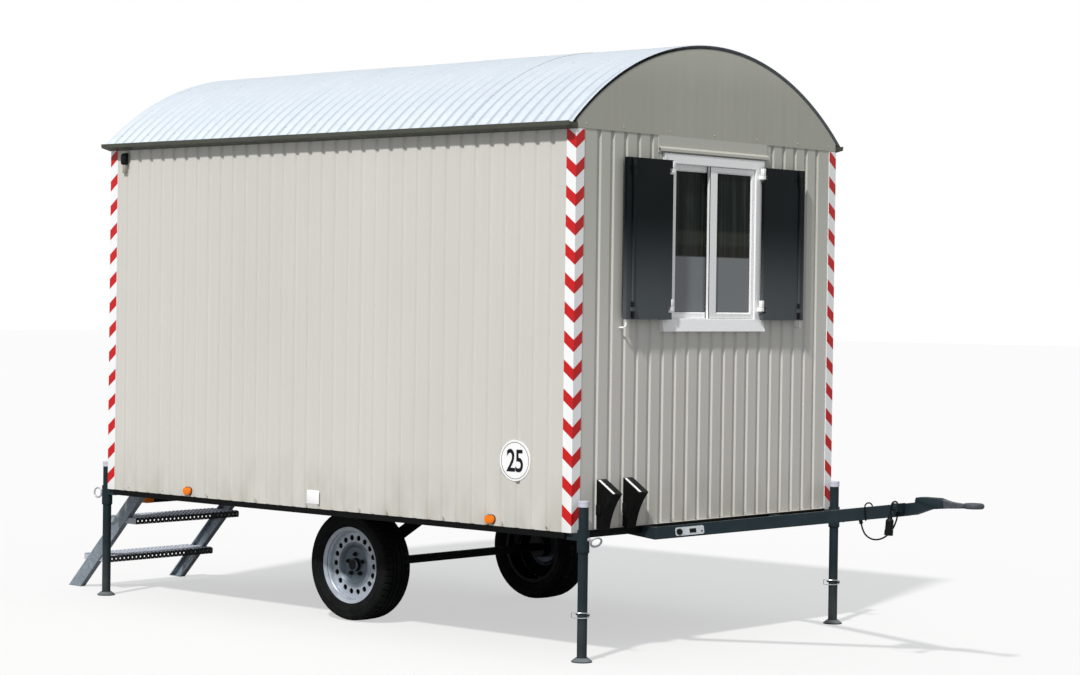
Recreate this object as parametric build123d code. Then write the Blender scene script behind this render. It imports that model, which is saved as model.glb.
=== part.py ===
from build123d import *
import math
import os

# Portable site cabin on one axle: a ribbed steel box with an arched roof, drawn in millimetres.
# X runs forward along the drawbar, Y to the left side, Z up. Z 0 is the ground.
# Sizes are measured from the middle of the body, and save() shifts each piece at the end.

# Fits
SEAT = 0.3
CUT = 1.0

# Wheels
TYRE_RADIUS = 297.5
TYRE_WIDTH = 195.0
SHOULDER_DROP = 9.0
SHOULDER_INSET = 11.0
TREAD_INSET = 27.0
TRACK_HALF = 729.0
BEAD_RADIUS = 190.5
BEAD_INSET = 8.0
RIM_FLANGE_RADIUS = 203.5
RIM_FLANGE = 6.0
RIM_HALF_WIDTH = 80.0
RIM_WALL = 6.0
DISC_SHEET = 6.0
DISC_FACE = 40.0
RIM_HOLES = 18
RIM_HOLE_RADIUS = 15.0
RIM_HOLE_CIRCLE = 145.0
HOLE_BAND = 22.0
CREST_RADIUS = 109.0
CREST_RISE = 14.0
DISH_RADIUS = 92.0
DISH_DROP = 8.0
CENTRE_BORE = 33.0
HUB_RADIUS = 62.0
HUB_SHOULDER = 54.0
HUB_DEPTH = 64.0
HUB_CAP_RADIUS = 26.0
HUB_CAP_REACH = 34.0

# Axle
STUB_RADIUS = 20.0
STUB_PAST_TRACK = 36.0
AXLE_X = -34.5
AXLE_SIDE = 40.0
AXLE_INSET = 40.0
STRUT_POST = 54.0
STRUT_WIDTH = 66.0
STRUT_ANGLE = 31.5
STRUT_SHEET = 8.0

# Body
BODY_LENGTH = 3500.0
BODY_WIDTH = 2140.0
TYRE_CLEARANCE = 19.0
WALL_HEIGHT = 1934.0
WALL = 50.0

# Ribbed wall sheet
RIB_PITCH = 100.0
GROOVE_WIDTH = 34.0
GROOVE_FLOOR = 18.0
GROOVE_DEPTH = 10.0

# Roof
ROOF_RISE = 457.4
EAVE_RISE = 21.6
ROOF_SIDE_OVERHANG = 50.0
ROOF_END_OVERHANG = 30.0
WAVE_PITCH = 76.0
WAVE_DEPTH = 18.0
ROOF_SKIN = 4.0
CEILING = 34.0
GABLE_FACING = 3.0
GABLE_LAP = 2.0

# Eave gutter
GUTTER_SHEET = 3.0
GUTTER_REACH = 65.0
GUTTER_LIP = 32.0
GUTTER_BACK = 28.0

# Floor and frame
FRAME_DEPTH = 30.0
FRAME_WIDTH = 47.0
BEAM_INSIDE_TRACK = 209.0
MAIN_BEAM_WIDTH = 60.0
MAIN_BEAM_HEIGHT = 50.0
CROSS_BEAM_HEIGHT = 50.0
CROSS_BEAM_WIDTH = 50.0
CROSS_BEAM_PITCH = 750.0
FLOOR = 30.0

# Corner strips
STRIP_LEG = 58.0
STRIP_SHEET = 3.0
STRIP_GAP = 1.0

# Front window
WINDOW_HALF_WIDTH = 413.5
WINDOW_HEIGHT = 834.0
WINDOW_BELOW_EAVES = 86.0
FRAME_BORDER = 53.0
FRAME_PROUD = 15.0
CUT_MARGIN = 9.0
SASH_BORDER = 44.0
SASH_DEPTH = 20.0
SASH_SETBACK = 15.0
SASH_OVERLAP = 30.0
GLASS = 6.0
SILL_HEIGHT = 53.0
SILL_PROUD = 30.0
SILL_PAST_FRAME = 4.0
DRIP_PAST_FRAME = 36.5
DRIP_PROUD = 25.0
DRIP_LIFT = 16.0
DRIP_FALL = 8.0
DRIP_EDGE = 4.0
FLASHING = 3.0

# Shutters
LEAF_WIDTH = 355.0
LEAF_HEIGHT = 790.0
LEAF_LIFT = 7.0
LEAF_DEPTH = 20.0
LEAF_SHEET = 3.0
LEAF_RETURN = 14.0
LEAF_EDGE_GAP = 4.0
HINGE_INSET = 38.5
HINGE_PROUD = 35.0
LEAF_BACK = 12.0
PIN_RADIUS = 5.0
KNUCKLE_RADIUS = 9.0
KNUCKLE_HEIGHT = 35.0
HINGE_BLOCK = 20.0
HINGE_UP = 45.0
HINGE_DOWN = 60.0
NOTCH_PLAY = 6.0
NOTCH_DROP = 10.0
ROD_RADIUS = 6.0
ROD_INSET = 45.0
ROD_END_GAP = 12.0
GUIDE_INSET = 50.0
GUIDE_HALF_WIDTH = 14.0
GUIDE_HEIGHT = 20.0
HOLDER_GAP = 7.0
HOLDER_SHEET = 6.0
HOLDER_HALF_WIDTH = 6.0
HOLDER_TIP = 34.0
HOLDER_ARM = 8.0
HOLDER_PLATE = 40.0
HOLDER_PLATE_SHEET = 4.0
HOLDER_PLATE_HALF = 12.0
HOLDER_FROM_EDGE = 8.0

# Rear door
DOOR_FROM_WALL = 115.0
DOOR_WIDTH = 830.0
DOOR_BELOW_EAVES = 44.3
DOOR_BORDER = 40.0
DOOR_FRAME_PROUD = 6.0
DOOR_LEAF = 40.0
DOOR_LEAF_PROUD = 4.0
DOOR_GAP = 0.6
HANDLE_HEIGHT = 1000.0
HANDLE_FROM_FRAME = 45.0
HANDLE_PLATE = 8.0
HANDLE_PLATE_HALF = 20.0
HANDLE_PLATE_UP = 60.0
HANDLE_PLATE_DOWN = 130.0
HANDLE_NECK = 36.0
HANDLE_NECK_RADIUS = 8.0
LEVER_RADIUS = 9.0
LEVER_LENGTH = 115.0

# Stair
STAIR_WIDTH = 800.0
STAIR_SHEET = 8.0
STAIR_INSET = 40.6
STAIR_ANGLE = 45.4
STRINGER_WIDTH = 78.0
TREAD_TOPS = (200.0, 437.0)
TREAD_DEPTH = 240.0
TREAD_SHIFT = 4.0
TREAD_EDGE = 37.0
TREAD_SHEET = 3.0
TREAD_HOLE = 5.5
TREAD_HOLES = 26

# Corner legs
LEG_OUT = 50.0
LEG_IN = 32.0
LEG_RADIUS = 24.15
LEG_ABOVE = 154.0
CAP_HEIGHT = 28.0
CAP_WALL = 1.0
FOOT_RADIUS = 50.0
FOOT_RIM = 5.0
FOOT_HEIGHT = 20.0
FOOT_COLLAR = 6.0
SLEEVE_RADIUS = 30.0
SLEEVE_BELOW = 88.0
SLEEVE_ABOVE = 16.0
LEG_PLAY = 0.5
STUB_LENGTH = 42.0
STUB_SIDE = 35.0
LOCK_PIN_UP = 60.0
LOCK_PIN_RADIUS = 8.0
LOCK_PIN_REACH = 22.0
LOCK_RING_RADIUS = 26.0
LOCK_RING_WIRE = 4.0
LINCH_PIN_Z = 225.0
LINCH_PIN_RADIUS = 5.0
LINCH_PIN_PAST = 14.0

# Drawbar
BEND_OUT = 85.0
ARM_WIDTH = 40.0
ARM_HEIGHT = 60.0
ARM_DROP = 59.0
ROOT_REACH = 275.0
ROOT_TIP = 3.0
ROOT_GAP = 2.0
TOW_OUT = 1210.0
TOW_RISE = 165.0
TOW_BEAM_HALF = 30.0
TOW_BEAM_BACK = 260.0
TOW_BEAM_AHEAD = 150.0
TOW_CUT_RUN = 125.0
TOW_NOSE = 32.0
CAP_PLATE_RUN = 110.0
CAP_PLATE_SHEET = 8.0
EYE_AHEAD = 349.0
EYE_LIFT = 232.0
EYE_RADIUS = 50.0
EYE_BORE = 20.0
EYE_DEPTH = 25.0
NECK_HALF_WIDTH = 22.0
NECK_ROOT = 30.0
NECK_FLAT = 70.0
NECK_UNDER = 90.0
NECK_DIP = 2.0

# Wheel chocks
CHOCK_FROM_SIDE = (219.0, 418.0)
CHOCK_WIDTH = 70.0
CHOCK_HEIGHT = 246.0
CHOCK_REACH = 104.0
CHOCK_TIP_DROP = 68.0
CHOCK_HEEL = 27.0
CHOCK_WAIST = 47.0
CHOCK_WAIST_HEIGHT = 80.0

# Lamps, speed disc and power inlet
SPEED_DISC_BACK = 365.0
SPEED_DISC_UP = 327.0
SPEED_DISC_RADIUS = 100.0
SPEED_DISC_SHEET = 3.0
SIDE_LAMP_FROM_REAR = 701.0
SIDE_LAMP_FROM_FRONT = 522.0
SIDE_LAMP_UP = 31.0
SIDE_LAMP_LENGTH = 60.0
SIDE_LAMP_HEIGHT = 40.0
SIDE_LAMP_PROUD = 16.0
TAIL_LAMP_IN = 390.0
TAIL_LAMP_WIDTH = 230.0
TAIL_LAMP_HEIGHT = 50.0
TAIL_LAMP_DEPTH = 50.0
TAIL_LAMP_DROP = 64.0
TAIL_BRACKET = 4.0
TAIL_BRACKET_INSET = 5.0
INLET_FROM_STRIP = 35.0
INLET_HALF_WIDTH = 27.0
INLET_BELOW_EAVES = 28.0
INLET_HEIGHT = 100.0
INLET_FOOT = 46.0
INLET_REACH = 62.0
INLET_BROW = 30.0
INLET_SLOPE = 20.0

# Parking socket plate
SOCKET_START = 75.0
SOCKET_LENGTH = 190.0
SOCKET_HALF_HEIGHT = 22.0
SOCKET_SHEET = 4.0
SOCKET_RADIUS = 19.0
SOCKET_REACH = 18.0
SOCKET_ALONG = 28.0

# Trailer cable: its route from the gland, over the hook and into the plug, from the tow point
CABLE_RADIUS = 4.0
CABLE_ROUTE = (
    (-212, -98, 116),
    (-204, -98, 85),
    (-182, -95, 57),
    (-148, -89, 43),
    (-112, -82, 48),
    (-80, -74, 67),
    (-55, -66, 98),
    (-40, -60, 135),
    (-32, -57, 176),
    (-31, -57, 218),
    (-32, -72.6, 233.7),
    (-34, -94.8, 233.7),
    (-36, -110.4, 218),
    (-39, -111, 178),
)
CABLE_ARC_SHARE = 0.45
GLAND_RADIUS = 9.0
PLUG_RADIUS = 19.0
PLUG_LENGTH = 104.0
PLUG_BOOT = 24.0
PLUG_NECK = 12.0
PLUG_SHOULDER = 10.0
PLUG_COLLAR = 24.0
PLUG_COLLAR_WALL = 2.0
BOOT_WALL = 3.0
HOOK_BACK = 33.0
HOOK_Y = -83.7
HOOK_UP = 207.0
HOOK_RADIUS = 19.0
HOOK_WIDTH = 14.0
HOOK_PLATE = 6.0
HOOK_PLATE_BACK = 14.0

# Places worked out from the sizes above
WHEEL_Z = TYRE_RADIUS
BODY_BOTTOM = 2 * TYRE_RADIUS + TYRE_CLEARANCE
EAVES_BOARD_Z = BODY_BOTTOM + WALL_HEIGHT
HALF_LENGTH = BODY_LENGTH / 2
HALF_WIDTH = BODY_WIDTH / 2
INNER_X = HALF_LENGTH - WALL
INNER_Y = HALF_WIDTH - WALL
EAVE_Y = HALF_WIDTH + ROOF_SIDE_OVERHANG
ROOF_TOP = EAVES_BOARD_Z + EAVE_RISE + ROOF_RISE
ROOF_RADIUS = (EAVE_Y**2 + ROOF_RISE**2) / (2 * ROOF_RISE)
ROOF_CENTRE_Z = ROOF_TOP - ROOF_RADIUS
ROOF_UNDER = ROOF_RADIUS - WAVE_DEPTH - ROOF_SKIN
ROOF_HALF_ANGLE = math.degrees(math.asin(EAVE_Y / ROOF_RADIUS))
ROOF_HALF_LENGTH = HALF_LENGTH + ROOF_END_OVERHANG
MAIN_BEAM_Y = TRACK_HALF - BEAM_INSIDE_TRACK
FRAME_BOTTOM = BODY_BOTTOM - FRAME_DEPTH - SEAT
MAIN_BEAM_TOP = FRAME_BOTTOM + MAIN_BEAM_HEIGHT
CROSS_BEAM_TOP = MAIN_BEAM_TOP + CROSS_BEAM_HEIGHT
FLOOR_TOP = CROSS_BEAM_TOP + FLOOR
AXLE_HALF_LENGTH = TRACK_HALF - AXLE_INSET
WINDOW_TOP = EAVES_BOARD_Z - WINDOW_BELOW_EAVES
WINDOW_BOTTOM = WINDOW_TOP - WINDOW_HEIGHT
LEAF_BOTTOM = WINDOW_BOTTOM + LEAF_LIFT
LEAF_TOP = LEAF_BOTTOM + LEAF_HEIGHT
HINGE_X = HALF_LENGTH + HINGE_PROUD
HINGE_Y = WINDOW_HALF_WIDTH - HINGE_INSET
HINGE_HEIGHTS = (LEAF_BOTTOM + HINGE_UP, LEAF_TOP - HINGE_DOWN)
DOOR_TOP = EAVES_BOARD_Z - DOOR_BELOW_EAVES
DOOR_CENTRE_Y = DOOR_FROM_WALL + DOOR_WIDTH / 2 - INNER_Y
STAIR_SLOPE = math.tan(math.radians(STAIR_ANGLE))
STAIR_FOOT_X = STAIR_INSET - HALF_LENGTH - FRAME_BOTTOM / STAIR_SLOPE
STRINGER_RUN = STRINGER_WIDTH / math.sin(math.radians(STAIR_ANGLE))
LEG_X = HALF_LENGTH + LEG_OUT
LEG_Y = HALF_WIDTH - LEG_IN
LEG_TOP = BODY_BOTTOM + LEG_ABOVE
SLEEVE_BOTTOM = BODY_BOTTOM - SLEEVE_BELOW
SLEEVE_TOP = BODY_BOTTOM + SLEEVE_ABOVE
BEND_X = HALF_LENGTH + BEND_OUT
TOW_X = HALF_LENGTH + TOW_OUT
ARM_BOTTOM = BODY_BOTTOM - ARM_DROP
ARM_SLOPE = TOW_RISE / (TOW_X - BEND_X)
ARM_YAW = math.degrees(math.atan2(MAIN_BEAM_Y, TOW_X - BEND_X))
EYE_X = TOW_X + EYE_AHEAD
EYE_Z = ARM_BOTTOM + EYE_LIFT
FRONT_END = EYE_X + EYE_RADIUS
REAR_END = STAIR_FOOT_X - STRINGER_RUN / 2
SHIFT_X = -(FRONT_END + REAR_END) / 2


def block(x0, x1, y0, y1, z0, z1):
    """Box between two corners."""
    size = Box(x1 - x0, y1 - y0, z1 - z0)
    return Pos((x0 + x1) / 2, (y0 + y1) / 2, (z0 + z1) / 2) * size


def side_profile(points, y0, y1):
    """Closed outline in X and Z, drawn out from y0 to y1."""
    face = make_face(Plane.XZ * Polyline(*points, close=True))
    return Pos(0, y0, 0) * extrude(face, amount=y1 - y0, dir=(0, 1, 0))


def front_profile(points, x0, x1):
    """Closed outline in Y and Z, drawn out from x0 to x1."""
    face = make_face(Plane.YZ * Polyline(*points, close=True))
    return Pos(x0, 0, 0) * extrude(face, amount=x1 - x0, dir=(1, 0, 0))


def rod(radius, start, end):
    """Round bar between two points."""
    path = Vector(*end) - Vector(*start)
    plane = Plane(origin=start, z_dir=path.normalized())
    return extrude(plane * Circle(radius), amount=path.length)


def tube(outer, inner, start, end):
    """Round tube between two points."""
    path = Vector(*end) - Vector(*start)
    plane = Plane(origin=start, z_dir=path.normalized())
    return extrude(plane * (Circle(outer) - Circle(inner)), amount=path.length)


def mirrored_x(shape):
    return shape.mirror(Plane.YZ)


def mirrored_y(shape):
    return shape.mirror(Plane.XZ)


def corners(shape):
    """The same piece at all four corners, from the front left one."""
    left = [shape, mirrored_x(shape)]
    return left + [mirrored_y(piece) for piece in left]


def save(name, *shapes):
    """Write one node, shifted so that the whole object is centred over its origin."""
    moved = [Pos(SHIFT_X, 0, 0) * shape for shape in shapes]
    solids = [solid for shape in moved for solid in shape.solids()]
    export_step(Compound(children=solids) if len(solids) > 1 else solids[0], f"parts/{name}.step")


def under_roof(shape):
    """Trim a piece to the curve of the roof's underside."""
    barrel = Pos(0, 0, ROOF_CENTRE_Z) * Rot(0, 90, 0) * Cylinder(ROOF_UNDER - SEAT, 2 * BODY_LENGTH)
    below = block(-BODY_LENGTH, BODY_LENGTH, -BODY_WIDTH, BODY_WIDTH, 0, ROOF_CENTRE_Z)
    return shape & (barrel + below)


def ribbed_slab(half_length, depth, bottom, top):
    """Upright slab along X whose outer face, at Y 0, has a groove at every rib pitch."""
    outline = [(-half_length, depth), (-half_length, 0)]
    count = int((half_length - GROOVE_WIDTH) / RIB_PITCH)
    for index in range(-count, count + 1):
        middle = index * RIB_PITCH
        outline.append((middle - GROOVE_WIDTH / 2, 0))
        outline.append((middle - GROOVE_FLOOR / 2, GROOVE_DEPTH))
        outline.append((middle + GROOVE_FLOOR / 2, GROOVE_DEPTH))
        outline.append((middle + GROOVE_WIDTH / 2, 0))
    outline += [(half_length, 0), (half_length, depth)]
    face = make_face(Polyline(*outline, close=True))
    return Pos(0, 0, bottom) * extrude(face, amount=top - bottom, dir=(0, 0, 1))


def side_wall():
    """Right side wall, its outer flats at half the body's width."""
    slab = ribbed_slab(HALF_LENGTH, WALL, BODY_BOTTOM, ROOF_TOP)
    return under_roof(Pos(0, -HALF_WIDTH, 0) * slab)


def end_wall():
    """Plain front wall between the side walls."""
    slab = ribbed_slab(INNER_Y, WALL, BODY_BOTTOM, EAVES_BOARD_Z)
    return Pos(HALF_LENGTH, 0, 0) * Rot(0, 0, 90) * slab


def window_cut():
    half = WINDOW_HALF_WIDTH - CUT_MARGIN
    low = WINDOW_BOTTOM + CUT_MARGIN
    high = WINDOW_TOP - CUT_MARGIN
    return block(INNER_X - CUT, HALF_LENGTH + CUT, -half, half, low, high)


def door_cut():
    low = DOOR_CENTRE_Y - DOOR_WIDTH / 2
    high = DOOR_CENTRE_Y + DOOR_WIDTH / 2
    return block(-HALF_LENGTH - CUT, -INNER_X + CUT, low, high, CROSS_BEAM_TOP, DOOR_TOP)


def gable_board():
    """Smooth board over the end wall, with a facing that laps the side walls' ends."""
    core = block(INNER_X, HALF_LENGTH, -INNER_Y, INNER_Y, EAVES_BOARD_Z, ROOF_TOP)
    lap = HALF_WIDTH - GABLE_LAP
    facing = block(HALF_LENGTH, HALF_LENGTH + GABLE_FACING, -lap, lap, EAVES_BOARD_Z, ROOF_TOP)
    return under_roof(core + facing)


def roof_sheet():
    """Corrugated sheet: a wave along X, turned about the roof's centre line."""
    count = int(ROOF_HALF_LENGTH / WAVE_PITCH)
    valley = ROOF_RADIUS - WAVE_DEPTH
    outline = [(-ROOF_HALF_LENGTH, ROOF_UNDER), (-ROOF_HALF_LENGTH, valley)]
    for index in range(-count, count + 1):
        outline.append((index * WAVE_PITCH, ROOF_RADIUS))
        if index < count:
            outline.append(((index + 0.5) * WAVE_PITCH, valley))
    outline += [(ROOF_HALF_LENGTH, valley), (ROOF_HALF_LENGTH, ROOF_UNDER)]
    face = make_face(Plane.XZ * Polyline(*outline, close=True))
    start = Rot(-ROOF_HALF_ANGLE, 0, 0) * face
    arch = revolve(start, axis=Axis.X, revolution_arc=2 * ROOF_HALF_ANGLE)
    return Pos(0, 0, ROOF_CENTRE_Z) * arch


def ceiling():
    """Insulated lining that follows the arch between the walls."""
    outer = ROOF_UNDER - SEAT
    ring = Cylinder(outer, 2 * INNER_X) - Cylinder(outer - CEILING, 2 * INNER_X)
    arch = Pos(0, 0, ROOF_CENTRE_Z) * Rot(0, 90, 0) * ring
    return arch & block(-INNER_X, INNER_X, -INNER_Y, INNER_Y, ROOF_CENTRE_Z, ROOF_TOP)


def eave_gutter():
    """Folded gutter under the left eave, open at both ends."""
    wall_y = HALF_WIDTH
    lip_y = wall_y + GUTTER_REACH
    low = EAVES_BOARD_Z - GUTTER_SHEET
    outline = [
        (wall_y, low),
        (lip_y, low),
        (lip_y, low + GUTTER_LIP),
        (lip_y - GUTTER_SHEET, low + GUTTER_LIP),
        (lip_y - GUTTER_SHEET, low + GUTTER_SHEET),
        (wall_y + GUTTER_SHEET, low + GUTTER_SHEET),
        (wall_y + GUTTER_SHEET, low + GUTTER_BACK),
        (wall_y, low + GUTTER_BACK),
    ]
    half = HALF_LENGTH + ROOF_END_OVERHANG / 2
    return front_profile(outline, -half, half)


def corner_strip():
    """Angle strip over the front left corner."""
    x = HALF_LENGTH
    y = HALF_WIDTH
    top = EAVES_BOARD_Z - GUTTER_SHEET - STRIP_GAP
    front = block(x, x + STRIP_SHEET, y - STRIP_LEG, y + STRIP_SHEET, BODY_BOTTOM, top)
    side = block(x - STRIP_LEG, x, y, y + STRIP_SHEET, BODY_BOTTOM, top)
    return front + side


def side_rail():
    """Frame bar under the left wall, between the two leg brackets."""
    end = HALF_LENGTH - STUB_LENGTH
    inner = HALF_WIDTH - SEAT - FRAME_WIDTH
    return block(-end, end, inner, HALF_WIDTH - SEAT, FRAME_BOTTOM, BODY_BOTTOM - SEAT)


def end_rail():
    """Frame bar under the front wall."""
    half = LEG_Y - STUB_SIDE / 2 - SEAT
    inner = HALF_LENGTH - SEAT - FRAME_WIDTH
    return block(inner, HALF_LENGTH - SEAT, -half, half, FRAME_BOTTOM, BODY_BOTTOM - SEAT)


def main_beam():
    half = INNER_X - SEAT
    low = MAIN_BEAM_Y - MAIN_BEAM_WIDTH / 2
    return block(-half, half, low, low + MAIN_BEAM_WIDTH, FRAME_BOTTOM, MAIN_BEAM_TOP)


def cross_beams():
    half = CROSS_BEAM_WIDTH / 2
    count = int((INNER_X - half) / CROSS_BEAM_PITCH)
    places = [index * CROSS_BEAM_PITCH for index in range(-count, count + 1)]
    return [block(x - half, x + half, -INNER_Y, INNER_Y, MAIN_BEAM_TOP, CROSS_BEAM_TOP) for x in places]


def floor_panel():
    return block(-INNER_X, INNER_X, -INNER_Y, INNER_Y, CROSS_BEAM_TOP, FLOOR_TOP)


def window_frame():
    """Outer frame of the sliding window: a flange on the sheet and a box in the cut-out."""
    half = WINDOW_HALF_WIDTH
    front = HALF_LENGTH + FRAME_PROUD
    flange = block(HALF_LENGTH, front, -half, half, WINDOW_BOTTOM, WINDOW_TOP)
    in_half = half - CUT_MARGIN - SEAT
    low = WINDOW_BOTTOM + CUT_MARGIN + SEAT
    high = WINDOW_TOP - CUT_MARGIN - SEAT
    core = block(INNER_X, HALF_LENGTH, -in_half, in_half, low, high)
    clear = half - FRAME_BORDER
    z0 = WINDOW_BOTTOM + FRAME_BORDER
    z1 = WINDOW_TOP - FRAME_BORDER
    return flange + core - block(INNER_X - CUT, front + CUT, -clear, clear, z0, z1)


def sash(low_y, high_y, back_x):
    """One sliding sash and the pane in it."""
    z0 = WINDOW_BOTTOM + FRAME_BORDER + SEAT
    z1 = WINDOW_TOP - FRAME_BORDER - SEAT
    front_x = back_x + SASH_DEPTH
    body = block(back_x, front_x, low_y, high_y, z0, z1)
    y0 = low_y + SASH_BORDER
    y1 = high_y - SASH_BORDER
    body -= block(back_x - CUT, front_x + CUT, y0, y1, z0 + SASH_BORDER, z1 - SASH_BORDER)
    middle = back_x + SASH_DEPTH / 2
    z0 += SASH_BORDER + SEAT
    z1 -= SASH_BORDER + SEAT
    pane = block(middle - GLASS / 2, middle + GLASS / 2, y0 + SEAT, y1 - SEAT, z0, z1)
    return body, pane


def sashes():
    """Both sashes with their panes, the left one in the track behind."""
    clear = WINDOW_HALF_WIDTH - FRAME_BORDER - SEAT
    behind = INNER_X + SASH_SETBACK
    left = sash(-clear, SASH_OVERLAP, behind)
    right = sash(-SASH_OVERLAP, clear, behind + SASH_DEPTH + SEAT)
    return left, right


def window_sill():
    half = WINDOW_HALF_WIDTH + SILL_PAST_FRAME
    low = WINDOW_BOTTOM - SILL_HEIGHT
    return block(HALF_LENGTH, HALF_LENGTH + SILL_PROUD, -half, half, low, WINDOW_BOTTOM)


def window_flashing():
    """Flat panel over the window, with a sloping drip rail along its lower edge."""
    half = WINDOW_HALF_WIDTH + DRIP_PAST_FRAME
    x = HALF_LENGTH
    low = WINDOW_TOP + DRIP_FALL
    rise = WINDOW_TOP + DRIP_LIFT
    panel = block(x, x + FLASHING, -half, half, WINDOW_TOP, EAVES_BOARD_Z)
    reach = x + DRIP_PROUD
    drip = [(x, rise), (reach, low), (reach, low + DRIP_EDGE), (x, rise + DRIP_LIFT)]
    return panel + side_profile(drip, -half, half)


def shutter_leaf(back, near):
    """Folded pan: a face sheet with returns round its back."""
    front = back + LEAF_DEPTH
    far = near + LEAF_WIDTH
    leaf = block(back, front, near, far, LEAF_BOTTOM, LEAF_TOP)
    y0 = near + LEAF_RETURN
    y1 = far - LEAF_RETURN
    z0 = LEAF_BOTTOM + LEAF_RETURN
    z1 = LEAF_TOP - LEAF_RETURN
    return leaf - block(back - CUT, front - LEAF_SHEET, y0, y1, z0, z1)


def shutter():
    """Left shutter, folded back on the wall, with its hinge knuckles and locking rod."""
    back = HINGE_X - LEAF_BACK
    front = back + LEAF_DEPTH
    near = HINGE_Y + LEAF_EDGE_GAP
    leaf = shutter_leaf(back, near)
    rod_y = near + LEAF_WIDTH - ROD_INSET
    rod_x = front + ROD_RADIUS / 2
    ends = (LEAF_BOTTOM + ROD_END_GAP, LEAF_TOP - ROD_END_GAP)
    leaf += rod(ROD_RADIUS, (rod_x, rod_y, ends[0]), (rod_x, rod_y, ends[1]))
    for z in (LEAF_BOTTOM + GUIDE_INSET, LEAF_TOP - GUIDE_INSET):
        y0 = rod_y - GUIDE_HALF_WIDTH
        y1 = rod_y + GUIDE_HALF_WIDTH
        half = GUIDE_HEIGHT / 2
        leaf += block(front, front + 2 * ROD_RADIUS, y0, y1, z - half, z + half)
    for z in HINGE_HEIGHTS:
        low = z + HINGE_BLOCK + SEAT
        y1 = near + HINGE_BLOCK + NOTCH_PLAY
        leaf -= block(back - CUT, front + CUT, near - CUT, y1, z - NOTCH_DROP, low)
        place = Pos(HINGE_X, HINGE_Y, low + KNUCKLE_HEIGHT / 2)
        leaf += place * Cylinder(KNUCKLE_RADIUS, KNUCKLE_HEIGHT)
        leaf -= place * Cylinder(PIN_RADIUS + SEAT, 2 * KNUCKLE_HEIGHT)
    return leaf


def shutter_hinges():
    """Blocks on the window frame with the pins that carry the left shutter."""
    back = HALF_LENGTH + FRAME_PROUD
    half = HINGE_BLOCK / 2
    pieces = []
    for z in HINGE_HEIGHTS:
        top = z + HINGE_BLOCK
        body = block(back, HINGE_X + half, HINGE_Y - half, HINGE_Y + half, z, top)
        body += rod(PIN_RADIUS, (HINGE_X, HINGE_Y, top), (HINGE_X, HINGE_Y, top + KNUCKLE_HEIGHT))
        pieces.append(body)
    return pieces


def shutter_holder():
    """Catch on the wall below the left shutter's free corner."""
    y = HINGE_Y + LEAF_EDGE_GAP + LEAF_WIDTH - HOLDER_FROM_EDGE
    top = LEAF_BOTTOM - HOLDER_GAP
    tip_x = HINGE_X - LEAF_BACK + LEAF_DEPTH
    end_x = tip_x + HOLDER_SHEET
    y0 = y - HOLDER_HALF_WIDTH
    y1 = y + HOLDER_HALF_WIDTH
    arm = block(HALF_LENGTH, end_x, y0, y1, top - HOLDER_ARM, top)
    tip = block(tip_x, end_x, y0, y1, top - HOLDER_TIP, top)
    half = HOLDER_PLATE_HALF
    plate = block(HALF_LENGTH, HALF_LENGTH + HOLDER_PLATE_SHEET, y - half, y + half, top - HOLDER_PLATE, top)
    return arm + tip + plate


def door_frame():
    """Frame in the rear doorway."""
    x0 = -HALF_LENGTH - DOOR_FRAME_PROUD
    half = DOOR_WIDTH / 2 - SEAT
    y0 = DOOR_CENTRE_Y - half
    y1 = DOOR_CENTRE_Y + half
    z1 = DOOR_TOP - SEAT
    outer = block(x0, -INNER_X, y0, y1, CROSS_BEAM_TOP, z1)
    border = DOOR_BORDER
    return outer - block(x0 - CUT, -INNER_X + CUT, y0 + border, y1 - border, FLOOR_TOP, z1 - border)


def door_leaf():
    """Plain closed leaf in its frame."""
    half = DOOR_WIDTH / 2 - SEAT - DOOR_BORDER - DOOR_GAP
    x0 = -HALF_LENGTH - DOOR_LEAF_PROUD
    z1 = DOOR_TOP - SEAT - DOOR_BORDER - DOOR_GAP
    return block(x0, x0 + DOOR_LEAF, DOOR_CENTRE_Y - half, DOOR_CENTRE_Y + half, FLOOR_TOP + DOOR_GAP, z1)


def door_handle():
    """Lever handle on its plate, at the stair's outer side."""
    face = -HALF_LENGTH - DOOR_LEAF_PROUD
    y = DOOR_CENTRE_Y - DOOR_WIDTH / 2 + DOOR_BORDER + HANDLE_FROM_FRAME
    z = FLOOR_TOP + HANDLE_HEIGHT
    x = face - HANDLE_PLATE
    half = HANDLE_PLATE_HALF
    plate = block(x, face, y - half, y + half, z - HANDLE_PLATE_DOWN, z + HANDLE_PLATE_UP)
    neck = rod(HANDLE_NECK_RADIUS, (x, y, z), (x - HANDLE_NECK, y, z))
    lever = rod(LEVER_RADIUS, (x - HANDLE_NECK, y, z), (x - HANDLE_NECK, y + LEVER_LENGTH, z))
    return plate + neck + lever


def stair_stringer(y0):
    """Flat bar from the ground up to the underside of the rear rail."""
    rise = FRAME_BOTTOM
    top_x = STAIR_FOOT_X + rise / STAIR_SLOPE
    half = STRINGER_RUN / 2
    foot = STAIR_FOOT_X
    outline = [(foot - half, 0), (foot + half, 0), (top_x + half, rise), (top_x - half, rise)]
    return side_profile(outline, y0, y0 + STAIR_SHEET)


def stringers():
    low = DOOR_CENTRE_Y - STAIR_WIDTH / 2
    high = DOOR_CENTRE_Y + STAIR_WIDTH / 2 - STAIR_SHEET
    return stair_stringer(low), stair_stringer(high)


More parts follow.
